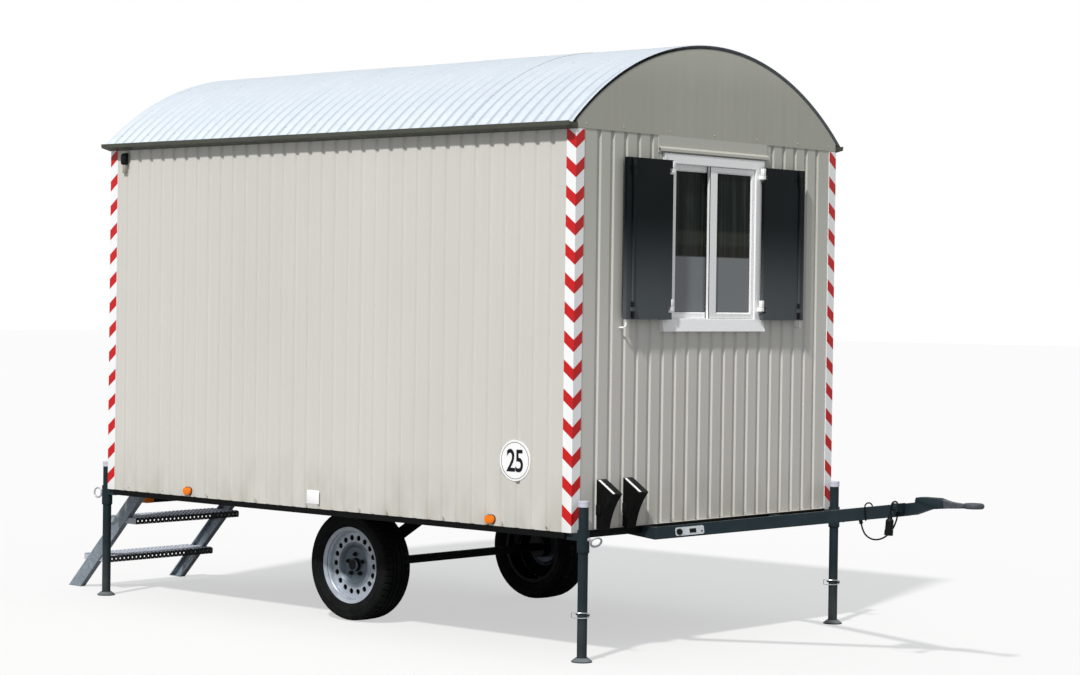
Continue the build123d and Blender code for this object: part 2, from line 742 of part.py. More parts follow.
def stair_tread(top):
    """Folded tread between the stringers, with a row of holes in its front edge."""
    middle = STAIR_FOOT_X + top / STAIR_SLOPE + TREAD_SHIFT
    half = STAIR_WIDTH / 2 - STAIR_SHEET
    x0 = middle - TREAD_DEPTH / 2
    x1 = middle + TREAD_DEPTH / 2
    y0 = DOOR_CENTRE_Y - half
    y1 = DOOR_CENTRE_Y + half
    low = top - TREAD_EDGE
    sheet = TREAD_SHEET
    tread = block(x0, x1, y0, y1, low, top)
    tread -= block(x0 + sheet, x1 - sheet, y0 - CUT, y1 + CUT, low - CUT, top - sheet)
    pitch = (y1 - y0) / TREAD_HOLES
    z = top - TREAD_EDGE / 2
    for index in range(TREAD_HOLES):
        y = y0 + (index + 0.5) * pitch
        tread -= rod(TREAD_HOLE, (x1 - sheet - CUT, y, z), (x1 + CUT, y, z))
    return tread


def turned(points):
    """Ring turned about the left wheel's axis, from radius and outward distance pairs."""
    face = make_face(Plane.YZ * Polyline(*[(across, radius) for radius, across in points], close=True))
    return Pos(AXLE_X, TRACK_HALF, WHEEL_Z) * revolve(face, axis=Axis.Y)


def tyre():
    """Tyre whose beads sit inside the rim's flanges."""
    half = TYRE_WIDTH / 2
    bead = RIM_HALF_WIDTH - BEAD_INSET - SEAT
    lip = RIM_FLANGE_RADIUS + CUT
    sidewall = TYRE_RADIUS - lip
    outline = [
        (BEAD_RADIUS + SEAT, bead),
        (lip, bead + CUT),
        (lip + sidewall * 0.2, half - 2),
        (lip + sidewall * 0.47, half),
        (TYRE_RADIUS - SHOULDER_DROP, half - SHOULDER_INSET),
        (TYRE_RADIUS, half - TREAD_INSET),
    ]
    other = [(radius, -across) for radius, across in reversed(outline)]
    return turned(outline + other)


def rim_barrel():
    """Barrel with a flange at each side."""
    side = RIM_HALF_WIDTH
    inner = BEAD_RADIUS - RIM_WALL
    return turned([
        (RIM_FLANGE_RADIUS, -side),
        (RIM_FLANGE_RADIUS, RIM_FLANGE - side),
        (BEAD_RADIUS, BEAD_INSET - side),
        (BEAD_RADIUS, side - BEAD_INSET),
        (RIM_FLANGE_RADIUS, side - RIM_FLANGE),
        (RIM_FLANGE_RADIUS, side),
        (inner, side - BEAD_INSET),
        (inner, -side),
    ])


def rim_disc():
    """Dished disc: a flat band for the holes, a raised crest and the hub's seat."""
    sheet = DISC_SHEET
    face = DISC_FACE
    floor = DISC_FACE - DISH_DROP + SEAT
    band_in = RIM_HOLE_CIRCLE - HOLE_BAND
    outer = BEAD_RADIUS - RIM_WALL + CUT
    return turned([
        (outer, face - sheet),
        (outer, face),
        (band_in, face),
        (CREST_RADIUS, face + CREST_RISE),
        (DISH_RADIUS, floor),
        (CENTRE_BORE, floor),
        (CENTRE_BORE, floor - sheet),
        (DISH_RADIUS, floor - sheet),
        (CREST_RADIUS, face + CREST_RISE - sheet),
        (band_in, face - sheet),
    ])


def rim():
    """Steel wheel with its ring of holes."""
    wheel = rim_barrel() + rim_disc()
    low = TRACK_HALF + DISC_FACE - DISC_SHEET - CUT
    high = TRACK_HALF + DISC_FACE + CUT
    for index in range(RIM_HOLES):
        angle = 2 * math.pi * index / RIM_HOLES
        x = AXLE_X + RIM_HOLE_CIRCLE * math.cos(angle)
        z = WHEEL_Z + RIM_HOLE_CIRCLE * math.sin(angle)
        wheel -= rod(RIM_HOLE_RADIUS, (x, low, z), (x, high, z))
    return wheel


def hub():
    """Hub on the stub axle, with the cap that shows in the rim's centre."""
    seat = DISC_FACE - DISH_DROP - DISC_SHEET
    inner = seat - HUB_DEPTH
    cap = CENTRE_BORE - SEAT
    bore = STUB_RADIUS + SEAT
    end = STUB_PAST_TRACK + SEAT
    return turned([
        (bore, inner),
        (HUB_RADIUS, inner),
        (HUB_RADIUS, seat - BEAD_INSET),
        (HUB_SHOULDER, seat),
        (cap, seat),
        (cap, seat + HUB_CAP_REACH - BEAD_INSET),
        (HUB_CAP_RADIUS, seat + HUB_CAP_REACH),
        (0, seat + HUB_CAP_REACH),
        (0, end),
        (bore, end),
    ])


def axle():
    """Square axle beam with a round stub at each end."""
    half = AXLE_SIDE / 2
    x = AXLE_X
    beam = block(x - half, x + half, -AXLE_HALF_LENGTH, AXLE_HALF_LENGTH, WHEEL_Z - half, WHEEL_Z + half)
    reach = TRACK_HALF + STUB_PAST_TRACK
    return beam + rod(STUB_RADIUS, (x, -reach, WHEEL_Z), (x, reach, WHEEL_Z))


def axle_strut():
    """Plate on the left end of the axle: a post, and an arm that rises forward to the main beam."""
    back = AXLE_X - AXLE_SIDE / 2
    front = AXLE_X + AXLE_SIDE / 2
    low = WHEEL_Z + AXLE_SIDE / 2 + SEAT
    elbow = low + STRUT_POST
    slope = math.tan(math.radians(STRUT_ANGLE))
    rise = STRUT_WIDTH / math.cos(math.radians(STRUT_ANGLE))
    top = FRAME_BOTTOM
    end = front + (top - elbow) / slope
    outline = [(back, low), (front, low), (front, elbow), (end, top)]
    outline += [(end - rise / slope, top), (back, elbow + rise - AXLE_SIDE * slope)]
    half = STRUT_SHEET / 2
    return side_profile(outline, MAIN_BEAM_Y - half, MAIN_BEAM_Y + half)


def leg():
    """Front left leg: a capped tube on a dished foot."""
    cap = LEG_TOP - CAP_HEIGHT
    foot = Polyline(
        (0, 0),
        (FOOT_RADIUS, 0),
        (FOOT_RADIUS, FOOT_RIM),
        (LEG_RADIUS + FOOT_COLLAR, FOOT_HEIGHT),
        (LEG_RADIUS, FOOT_HEIGHT),
        (LEG_RADIUS, cap),
        (LEG_RADIUS + CAP_WALL, cap),
        (LEG_RADIUS + CAP_WALL, LEG_TOP),
        (0, LEG_TOP),
        close=True,
    )
    return Pos(LEG_X, LEG_Y, 0) * revolve(make_face(Plane.XZ * foot), axis=Axis.Z)


def leg_bracket():
    """Sleeve for the front left leg on its stub of square bar."""
    top = BODY_BOTTOM - SEAT
    start = HALF_LENGTH - STUB_LENGTH
    half = STUB_SIDE / 2
    low = (LEG_X, LEG_Y, SLEEVE_BOTTOM)
    high = (LEG_X, LEG_Y, SLEEVE_TOP)
    stub = block(start, LEG_X, LEG_Y - half, LEG_Y + half, top - STUB_SIDE, top)
    return stub + rod(SLEEVE_RADIUS, low, high) - rod(LEG_RADIUS + LEG_PLAY, low, high)


def lock_pin():
    """Spring pin on the front left sleeve, with its pull ring."""
    x0 = LEG_X + SLEEVE_RADIUS + SEAT
    x1 = x0 + LOCK_PIN_REACH
    z = SLEEVE_BOTTOM + LOCK_PIN_UP
    body = rod(LOCK_PIN_RADIUS, (x0, LEG_Y, z), (x1, LEG_Y, z))
    drop = z - LOCK_RING_RADIUS
    half = LOCK_RING_WIRE / 2
    middle = x1 - LOCK_RING_WIRE
    start = (middle - half, LEG_Y, drop)
    end = (middle + half, LEG_Y, drop)
    return body + tube(LOCK_RING_RADIUS + half, LOCK_RING_RADIUS - half, start, end)


def linch_pin():
    """Pin through the front left leg below the sleeve."""
    reach = LEG_RADIUS + LINCH_PIN_PAST
    return rod(LINCH_PIN_RADIUS, (LEG_X - reach, LEG_Y, LINCH_PIN_Z), (LEG_X + reach, LEG_Y, LINCH_PIN_Z))


def drawbar_arm():
    """Left arm of the drawbar: a tapered root under the front rail, then the arm to the tow beam."""
    x0 = HALF_LENGTH + ROOT_GAP
    root_y = MAIN_BEAM_Y - ARM_WIDTH / 2
    back = BEND_X - ROOT_REACH
    high = ARM_BOTTOM + ARM_HEIGHT
    outline = [
        (back, FRAME_BOTTOM),
        (back, FRAME_BOTTOM - ROOT_TIP),
        (BEND_X, ARM_BOTTOM),
        (BEND_X, high),
        (x0, high),
        (x0, FRAME_BOTTOM),
    ]
    root = side_profile(outline, root_y, root_y + ARM_WIDTH)
    run = math.hypot(TOW_X - BEND_X, MAIN_BEAM_Y)
    overlap = ARM_WIDTH / 5
    outline = [(-overlap, ARM_BOTTOM), (run, ARM_BOTTOM + TOW_RISE), (run, high + TOW_RISE), (-overlap, high)]
    arm = side_profile(outline, -ARM_WIDTH / 2, ARM_WIDTH / 2)
    arm = Pos(BEND_X, MAIN_BEAM_Y, 0) * Rot(0, 0, -ARM_YAW) * arm
    past = TOW_X + TOW_BEAM_BACK
    arm -= block(BEND_X, past, -MAIN_BEAM_Y, TOW_BEAM_HALF + SEAT, 0, 2 * EYE_Z)
    return root + arm


def arm_bottom(x):
    """Height of the arms' lower edge at a place along X."""
    return ARM_BOTTOM + ARM_SLOPE * (x - BEND_X)


def tow_beam():
    """Middle beam between the arms' ends, cut away below at its front, with a plate on its nose."""
    x0 = TOW_X - TOW_BEAM_BACK
    x1 = TOW_X + TOW_BEAM_AHEAD
    cut_x = x1 - TOW_CUT_RUN
    top = arm_bottom(x1) + ARM_HEIGHT
    outline = [
        (x0, arm_bottom(x0)),
        (cut_x, arm_bottom(cut_x)),
        (x1, top - TOW_NOSE),
        (x1, top),
        (x0, arm_bottom(x0) + ARM_HEIGHT),
    ]
    beam = side_profile(outline, -TOW_BEAM_HALF, TOW_BEAM_HALF)
    plate_x = x1 - CAP_PLATE_RUN
    plate_z = arm_bottom(plate_x) + ARM_HEIGHT
    sheet = CAP_PLATE_SHEET
    plate = [(plate_x, plate_z - CUT), (x1, top - CUT), (x1, top + sheet), (plate_x + sheet, plate_z + sheet)]
    return beam + side_profile(plate, -TOW_BEAM_HALF, TOW_BEAM_HALF)


def tow_eye():
    """Forged eye on a flat neck."""
    x0 = TOW_X + TOW_BEAM_AHEAD
    top = arm_bottom(x0) + ARM_HEIGHT
    z0 = EYE_Z - EYE_DEPTH / 2
    z1 = EYE_Z + EYE_DEPTH / 2
    end = EYE_X - EYE_RADIUS + NECK_ROOT / 2
    outline = [
        (x0, top - NECK_ROOT),
        (x0, top),
        (x0 + NECK_FLAT, top - NECK_DIP),
        (end, z1),
        (end, z0),
        (x0 + NECK_UNDER, z0 + NECK_DIP),
    ]
    neck = side_profile(outline, -NECK_HALF_WIDTH, NECK_HALF_WIDTH)
    ring = Pos(EYE_X, 0, EYE_Z) * Cylinder(EYE_RADIUS, EYE_DEPTH)
    bore = Pos(EYE_X, 0, EYE_Z) * Cylinder(EYE_BORE, 2 * EYE_DEPTH)
    return neck + ring - bore


def wheel_chock(from_side):
    """Rubber chock stored with its base against the front wall."""
    x = HALF_LENGTH
    z = BODY_BOTTOM + CUT
    y = from_side - HALF_WIDTH
    top = (x, z + CHOCK_HEIGHT)
    tip = (x + CHOCK_REACH, z + CHOCK_HEIGHT - CHOCK_TIP_DROP)
    heel = (x + CHOCK_HEEL, z)
    edge = Line((x, z), top) + Line(top, tip)
    bow = ThreePointArc(tip, (x + CHOCK_WAIST, z + CHOCK_WAIST_HEIGHT), heel)
    face = make_face(Plane.XZ * (edge + bow + Line(heel, (x, z))))
    return Pos(0, y - CHOCK_WIDTH / 2, 0) * extrude(face, amount=CHOCK_WIDTH, dir=(0, 1, 0))


def side_lamp(x):
    """Oval marker lamp on the left wall."""
    place = (x, HALF_WIDTH, BODY_BOTTOM + SIDE_LAMP_UP)
    plane = Plane(origin=place, x_dir=(-1, 0, 0), z_dir=(0, 1, 0))
    oval = SlotOverall(SIDE_LAMP_LENGTH, SIDE_LAMP_HEIGHT)
    return extrude(plane * oval, amount=SIDE_LAMP_PROUD, dir=(0, 1, 0))


def side_lamps():
    left = [side_lamp(x) for x in (SIDE_LAMP_FROM_REAR - HALF_LENGTH, HALF_LENGTH - SIDE_LAMP_FROM_FRONT)]
    return left + [mirrored_y(lamp) for lamp in left]


def tail_lamp():
    """Lamp housing on a bracket under the rear rail, left side."""
    x = TAIL_BRACKET_INSET - HALF_LENGTH
    y = HALF_WIDTH - TAIL_LAMP_IN
    half = TAIL_LAMP_WIDTH / 2
    low = FRAME_BOTTOM - TAIL_LAMP_DROP
    bracket = block(x, x + TAIL_BRACKET, y - half / 2, y + half / 2, low, FRAME_BOTTOM)
    return bracket + block(x - TAIL_LAMP_DEPTH, x, y - half, y + half, low, low + TAIL_LAMP_HEIGHT)


def speed_disc():
    """Round speed plate low on the right wall."""
    x = HALF_LENGTH - SPEED_DISC_BACK
    z = BODY_BOTTOM + SPEED_DISC_UP
    return rod(SPEED_DISC_RADIUS, (x, -HALF_WIDTH, z), (x, -HALF_WIDTH - SPEED_DISC_SHEET, z))


def power_inlet():
    """Hooded inlet box at the top rear corner of the right wall."""
    x = STRIP_LEG + INLET_FROM_STRIP - HALF_LENGTH
    y = -HALF_WIDTH
    top = EAVES_BOARD_Z - INLET_BELOW_EAVES
    low = top - INLET_HEIGHT
    brow = (y - INLET_REACH, top - INLET_SLOPE)
    outline = [(y, low), (y - INLET_FOOT, low), brow, (y - INLET_BROW, top), (y, top)]
    return front_profile(outline, x - INLET_HALF_WIDTH, x + INLET_HALF_WIDTH)


def socket_plate():
    """Plate on the right arm's outer face that carries the parking socket."""
    tilt = -math.degrees(math.atan(ARM_SLOPE * math.cos(math.radians(ARM_YAW))))
    face = -ARM_WIDTH / 2
    front = face - SOCKET_SHEET
    plate = block(0, SOCKET_LENGTH, front, face, -SOCKET_HALF_HEIGHT, SOCKET_HALF_HEIGHT)
    socket = rod(SOCKET_RADIUS, (SOCKET_ALONG, front, 0), (SOCKET_ALONG, front - SOCKET_REACH, 0))
    lift = Rot(0, tilt, 0) * (plate + socket)
    middle = SOCKET_START * math.cos(math.radians(ARM_YAW))
    z = ARM_BOTTOM + ARM_HEIGHT / 2 + ARM_SLOPE * middle
    return Pos(BEND_X, -MAIN_BEAM_Y, z) * Rot(0, 0, ARM_YAW) * Pos(SOCKET_START, 0, 0) * lift


def cable_points():
    """The cable's route in the body's own places."""
    return [Vector(TOW_X + x, y, ARM_BOTTOM + z) for x, y, z in CABLE_ROUTE]


def cable():
    """Free loop of the trailer cable, as straight runs joined by arcs."""
    points = cable_points()
    radii = []
    for before, here, after in zip(points, points[1:], points[2:]):
        turn = math.radians((here - before).get_angle(after - here))
        shorter = min((here - before).length, (after - here).length)
        radii.append(CABLE_ARC_SHARE * shorter / math.tan(turn / 2))
    path = FilletPolyline(*points, radius=radii)
    start = Plane(origin=points[0], z_dir=points[1] - points[0])
    lead = sweep(start * Circle(CABLE_RADIUS), path=path)
    print("cable radii", [round(radius) for radius in radii])
    section = math.pi * CABLE_RADIUS**2
    print("cable length", round(path.length), "volume ratio", round(lead.volume / (section * path.length), 4))
    return lead


def cable_gland():
    """Gland under the right arm, in line with the cable's first run."""
    start, after = cable_points()[:2]
    way = (start - after).normalized()
    body = rod(GLAND_RADIUS, tuple(start), tuple(start + way * ARM_HEIGHT / 2))
    return body - mirrored_y(drawbar_arm())


def cable_hook():
    """Saddle on the drawbar's right side that the cable hangs over."""
    x0 = TOW_X - HOOK_BACK - HOOK_WIDTH / 2
    x1 = TOW_X - HOOK_PLATE_BACK
    z = ARM_BOTTOM + HOOK_UP
    saddle = rod(HOOK_RADIUS, (x0, HOOK_Y, z), (x1, HOOK_Y, z))
    low = z - HOOK_RADIUS
    high = z + HOOK_RADIUS
    return saddle + block(x1, x1 + HOOK_PLATE, HOOK_Y - HOOK_RADIUS, -TOW_BEAM_HALF, low, high)


def plug():
    """Seven-pin plug hanging from the cable's end."""
    collar = PLUG_LENGTH - PLUG_COLLAR
    outline = [
        (0, 0),
        (CABLE_RADIUS + BOOT_WALL, 0),
        (PLUG_NECK, PLUG_BOOT),
        (PLUG_RADIUS, PLUG_BOOT + PLUG_SHOULDER),
        (PLUG_RADIUS, collar),
        (PLUG_RADIUS + PLUG_COLLAR_WALL, collar),
        (PLUG_RADIUS + PLUG_COLLAR_WALL, PLUG_LENGTH),
        (0, PLUG_LENGTH),
    ]
    body = revolve(make_face(Plane.XZ * Polyline(*outline, close=True)), axis=Axis.Z)
    before, end = cable_points()[-2:]
    return Plane(origin=end, z_dir=end - before) * body


def save_frame_and_floor():
    save("side_rails", side_rail(), mirrored_y(side_rail()))
    save("end_rails", end_rail(), mirrored_x(end_rail()))
    save("main_beams", main_beam(), mirrored_y(main_beam()))
    save("cross_beams", *cross_beams())
    save("floor_panel", floor_panel())


def save_walls_and_roof():
    save("right_wall", side_wall())
    save("left_wall", mirrored_y(side_wall()))
    save("front_wall", end_wall() - window_cut())
    save("rear_wall", mirrored_x(end_wall()) - door_cut())
    save("front_gable_board", gable_board())
    save("rear_gable_board", mirrored_x(gable_board()))
    save("roof_sheet", roof_sheet())
    save("ceiling_lining", ceiling())
    save("eave_gutters", eave_gutter(), mirrored_y(eave_gutter()))
    save("corner_strips", *corners(corner_strip()))


def save_window_and_door():
    (left_sash, left_pane), (right_sash, right_pane) = sashes()
    save("window_frame", window_frame())
    save("window_sashes", left_sash, right_sash)
    save("window_glass", left_pane, right_pane)
    save("window_sill", window_sill())
    save("window_flashing", window_flashing())
    save("shutter_left", shutter())
    save("shutter_right", mirrored_y(shutter()))
    hinges = shutter_hinges()
    save("shutter_hinges", *hinges, *[mirrored_y(piece) for piece in hinges])
    save("shutter_holders", shutter_holder(), mirrored_y(shutter_holder()))
    save("rear_door_frame", door_frame())
    save("rear_door", door_leaf())
    save("rear_door_handle", door_handle())
    save("stair_stringers", *stringers())
    save("stair_treads", *[stair_tread(top) for top in TREAD_TOPS])


def save_running_gear():
    save("axle", axle())
    save("axle_struts", axle_strut(), mirrored_y(axle_strut()))
    for name, piece in (("tyre", tyre()), ("rim", rim()), ("hub", hub())):
        save(f"{name}_left", piece)
        save(f"{name}_right", mirrored_y(piece))


def save_legs():
    save("leg_brackets", *corners(leg_bracket()))
    save("leg_lock_pins", *corners(lock_pin()))
    front = leg() + linch_pin()
    rear = mirrored_x(leg())
    save("leg_front_left", front)
    save("leg_front_right", mirrored_y(front))
    save("leg_rear_left", rear)
    save("leg_rear_right", mirrored_y(rear))


def save_drawbar():
    save("drawbar_arm_left", drawbar_arm())
    save("drawbar_arm_right", mirrored_y(drawbar_arm()))
    save("tow_beam", tow_beam())
    save("tow_eye", tow_eye())
    save("socket_plate", socket_plate())
    save("cable_gland", cable_gland())
    save("cable_hook", cable_hook())
    save("trailer_cable", cable())
    save("trailer_plug", plug())


def save_fittings():
    save("wheel_chocks", *[wheel_chock(distance) for distance in CHOCK_FROM_SIDE])
    save("side_lamps", *side_lamps())
    save("tail_lamps", tail_lamp(), mirrored_y(tail_lamp()))
    save("speed_disc", speed_disc())
    save("power_inlet", power_inlet())


def main():
    os.makedirs("parts", exist_ok=True)
    save_frame_and_floor()
    save_walls_and_roof()
    save_window_and_door()
    save_running_gear()
    save_legs()
    save_drawbar()
    save_fittings()


main()
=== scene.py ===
import math

import bmesh
import bpy
from mathutils import Matrix, Vector


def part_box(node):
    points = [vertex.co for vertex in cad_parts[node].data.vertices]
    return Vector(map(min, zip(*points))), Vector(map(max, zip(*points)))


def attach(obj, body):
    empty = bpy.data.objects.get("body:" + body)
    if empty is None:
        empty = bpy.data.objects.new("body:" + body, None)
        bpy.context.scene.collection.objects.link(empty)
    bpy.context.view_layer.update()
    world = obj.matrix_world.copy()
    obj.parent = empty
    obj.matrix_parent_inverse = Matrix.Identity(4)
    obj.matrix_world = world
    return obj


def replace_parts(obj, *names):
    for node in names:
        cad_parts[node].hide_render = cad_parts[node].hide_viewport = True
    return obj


# Looks of the portable site cabin: a ribbed steel box with an arched corrugated roof, on one axle.
# Metres, in the row's frame: X runs forward along the drawbar, Y to the left side, Z up.

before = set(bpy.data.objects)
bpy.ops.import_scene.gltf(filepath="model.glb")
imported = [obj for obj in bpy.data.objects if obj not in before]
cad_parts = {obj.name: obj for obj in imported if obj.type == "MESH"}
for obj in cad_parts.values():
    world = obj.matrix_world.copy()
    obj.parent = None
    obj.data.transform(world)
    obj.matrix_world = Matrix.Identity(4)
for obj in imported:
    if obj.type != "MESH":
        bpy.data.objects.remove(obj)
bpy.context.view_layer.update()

# Places read from the frame
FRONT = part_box("front_wall")[1].x
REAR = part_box("rear_wall")[0].x
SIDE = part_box("left_wall")[1].y
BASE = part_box("front_wall")[0].z
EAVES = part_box("front_wall")[1].z
MIDDLE = (FRONT + REAR) / 2
INNER = FRONT - 0.050
ROOF_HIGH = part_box("roof_sheet")[1]
WHEEL = (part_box("tyre_left")[0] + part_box("tyre_left")[1]) / 2
TYRE_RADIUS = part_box("tyre_left")[1].z / 2

# Camera, fitted to the photograph's corners, legs and roof
CAMERA_PLACE = (8.9156, -9.9396, 1.7146)
CAMERA_AZIMUTH = 41.655
CAMERA_DOWN = 0.829
CAMERA_ROLL = 0.759
SENSOR = 36.0
LENS = 82.08

# Light
SUN_FROM = (0.20, -0.64, 0.742)
SUN_COLOUR = (1.0, 0.985, 0.96)
SUN_STRENGTH = 3.04
SUN_SPREAD = 3.5
# Sky on the object, mirrored in it and seen behind it: colour and strength
SKIES = (((0.94, 0.97, 1.0, 1), 0.46), ((0.96, 0.98, 1.0, 1), 0.60), ((1, 1, 1, 1), 1.0))
FLOOR_ALBEDO = 0.30
FLOOR_SEEN_ALBEDO = 0.80
FLOOR_GLOW = 0.55
FLOOR_HALF = 90.0
SEEN_RAYS = ("Is Camera Ray", "Is Transmission Ray")

# Trailer cable: points from the tow point, as in the part's source
TOW_POINT = Vector((FRONT + 1.210, 0, BASE - 0.059))
CABLE_ROUTE = (
    (-0.212, -0.098, 0.116),
    (-0.204, -0.098, 0.085),
    (-0.182, -0.095, 0.057),
    (-0.148, -0.089, 0.043),
    (-0.112, -0.082, 0.048),
    (-0.080, -0.074, 0.067),
    (-0.055, -0.066, 0.098),
    (-0.040, -0.060, 0.135),
    (-0.032, -0.057, 0.176),
    (-0.031, -0.057, 0.218),
    (-0.032, -0.0726, 0.2337),
    (-0.034, -0.0948, 0.2337),
    (-0.036, -0.1104, 0.218),
    (-0.039, -0.111, 0.178),
)
CABLE_RADIUS = 0.004

# Roof sheet
ROOF_RISE = 0.4574
ROOF_RADIUS = (ROOF_HIGH.y**2 + ROOF_RISE**2) / (2 * ROOF_RISE)
ROOF_CENTRE_Z = ROOF_HIGH.z - ROOF_RADIUS
ROOF_HALF_ANGLE = math.asin(ROOF_HIGH.y / ROOF_RADIUS)
ROOF_START = REAR - 0.017
ROOF_END = FRONT + 0.008
WAVE_PITCH = 0.076
WAVE_DEPTH = 0.018
WAVE_STEPS = 10
ARCH_STEPS = 44
SHEET = 0.0012
SHEETS = 5
SHEET_LAP = 0.046

# Hazard stripes on the corner strips
STRIPE_COUNT = 16
STRIPE_PITCH = 0.1387
STRIPE_FIRST = 0.6452 - STRIPE_PITCH
STRIPE_WIDTH = 0.0605
STRIPE_HEIGHT = 0.058
STRIPE_RISE = 0.75 * STRIPE_WIDTH
STRIPE_FILM = 0.0004

# Window, from its outer corners
WINDOW_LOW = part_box("window_frame")[0].z
WINDOW_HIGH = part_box("window_frame")[1].z
OPENING = (-0.3415, WINDOW_LOW + 0.013, 0.3415, WINDOW_HIGH - 0.050)
GLASS_LOW = OPENING[1] + 0.032
GLASS_HIGH = OPENING[3] - 0.032

# Sashes: their two sides in Y, the border beside the glass at each, and the place of their faces
SASHES = (
    (OPENING[0], 0.030, 0.066, 0.040, INNER + 0.033),
    (-0.031, OPENING[2], 0.064, 0.026, INNER + 0.0553),
)


def srgb(red, green, blue):
    """Linear colour for an 8 bit display colour."""
    def linear(value):
        share = value / 255
        return ((share + 0.055) / 1.055) ** 2.4 if share > 0.04045 else share / 12.92
    return (linear(red), linear(green), linear(blue), 1.0)


def placed(name, data):
    """A new object in the scene."""
    thing = bpy.data.objects.new(name, data)
    bpy.context.scene.collection.objects.link(thing)
    return thing


class Graph:
    """A tree of shader nodes."""

    def __init__(self, tree):
        self.nodes = tree.nodes
        self.links = tree.links

    def fill(self, node, inputs):
        """Link each input to another node's output, or set its value."""
        for key, value in inputs.items():
            if isinstance(value, bpy.types.NodeSocket):
                self.links.new(value, node.inputs[key])
            else:
                node.inputs[key].default_value = value

    def node(self, kind, out, inputs=None, **settings):
        """Add a node and give one of its outputs."""
        node = self.nodes.new(kind)
        for key, value in settings.items():
            setattr(node, key, value)
        self.fill(node, inputs or {})
        return node.outputs[out]

    def maths(self, operation, *values):
        """One sum on values."""
        return self.node("ShaderNodeMath", "Value", dict(enumerate(values)), operation=operation)

    def blend(self, amount, first, second):
        """The first shader where amount is 0, the second where it is 1."""
        return self.node("ShaderNodeMixShader", 0, {0: amount, 1: first, 2: second})

    def rays(self, *names):
        """1 for any of these kinds of ray."""
        kinds = self.nodes.new("ShaderNodeLightPath").outputs
        total = kinds[names[0]]
        for name in names[1:]:
            total = self.maths("MAXIMUM", total, kinds[name])
        return total


class Finish(Graph):
    """A surface whose colour, gloss and relief are layered from patterns in the object's own places."""

    def __init__(self, name, colour, rough, metallic=0.0, specular=0.5):
        self.material = bpy.data.materials.new(name)
        self.material.use_nodes = True
        super().__init__(self.material.node_tree)
        self.shader = self.nodes["Principled BSDF"]
        self.fill(self.shader, {"Base Color": colour, "Roughness": rough, "Metallic": metallic})
        self.fill(self.shader, {"Specular IOR Level": specular})
        self.colour = colour
        self.relief = None
        self.place = self.node("ShaderNodeTexCoord", "Object")

    def drive(self, name, value):
        """Let one of the shader's inputs follow a value."""
        self.links.new(value, self.shader.inputs[name])
        return self

    def spread(self, scale, shift=(0, 0, 0)):
        """The object's own places, scaled and then shifted."""
        inputs = {"Vector": self.place, "Scale": scale, "Location": shift}
        return self.node("ShaderNodeMapping", "Vector", inputs)

    def noise(self, scale, stretch=(1, 1, 1), detail=4.0, twist=0.0):
        """Soft noise, from 0 to 1."""
        inputs = {"Vector": self.spread(stretch), "Scale": scale, "Detail": detail, "Distortion": twist}
        return self.node("ShaderNodeTexNoise", "Fac", inputs)

    def cells(self, scale):
        """Flat cells with a grey of their own each, as zinc crystals have."""
        cells = self.node("ShaderNodeTexVoronoi", "Color", {"Vector": self.place, "Scale": scale})
        return self.node("ShaderNodeSeparateColor", "Red", {"Color": cells})

    def axis(self, letter):
        """A place along one axis."""
        return self.node("ShaderNodeSeparateXYZ", letter, {"Vector": self.place})

    def reach(self, x, z):
        """Distance from a line along Y."""
        flat = self.spread((1, 0, 1), (-x, 0, -z))
        return self.node("ShaderNodeVectorMath", "Value", {0: flat}, operation="LENGTH")

    def levels(self, value, low, high, least=0.0, most=1.0, smooth=False, clamp=True):
        """Carry a value's range onto another, held at its ends."""
        inputs = {"Value": value, "From Min": low, "From Max": high, "To Min": least, "To Max": most}
        curve = "SMOOTHSTEP" if smooth else "LINEAR"
        return self.node("ShaderNodeMapRange", "Result", inputs, clamp=clamp, interpolation_type=curve)

    def wave(self, value, pitch, start):
        """Wave along a value, 1 at its start."""
        turns = self.levels(value, start, start + pitch, 0.0, 2 * math.pi, clamp=False)
        return self.maths("COSINE", turns)

    def mix(self, amount, colour):
        """Lay a colour over what is there, where amount is high."""
        inputs = {0: amount, 6: self.colour, 7: colour}
        self.colour = self.node("ShaderNodeMix", 2, inputs, data_type="RGBA")
        return self.drive("Base Color", self.colour)

    def patches(self, colour, amount, scale, low, high, stretch=(1, 1, 1), detail=4.0):
        """Lay a colour over in soft patches."""
        return self.mix(self.levels(self.noise(scale, stretch, detail), low, high, 0.0, amount), colour)

    def crystals(self, colour, amount, scale, low=0.0):
        """Lay a colour over in small flat cells."""
        return self.mix(self.levels(self.cells(scale), low, 1.0, 0.0, amount), colour)

    def gloss(self, scale, least, most):
        """Let the roughness follow soft noise."""
        return self.drive("Roughness", self.levels(self.noise(scale), 0.3, 0.7, least, most))

    def bump(self, height, distance, strength=1.0):
        """Add relief, in metres."""
        inputs = {"Height": height, "Distance": distance, "Strength": strength}
        if self.relief is not None:
            inputs["Normal"] = self.relief
        self.relief = self.node("ShaderNodeBump", "Normal", inputs)
        return self.drive("Normal", self.relief)

    def grain(self, scale, distance, strength=1.0, detail=1.0, stretch=(1, 1, 1)):
        """Add relief of soft noise."""
        return self.bump(self.noise(scale, stretch, detail), distance, strength)

    def dust(self, low, high, amount, colour=srgb(150, 140, 122)):
        """Road dust that fades out upward, broken up by noise."""
        rising = self.levels(self.axis("Z"), low, high, amount, 0.0)
        patchy = self.levels(self.noise(9.0, (1, 1, 0.4)), 0.35, 0.7)
        return self.mix(self.maths("MULTIPLY", rising, patchy), colour)


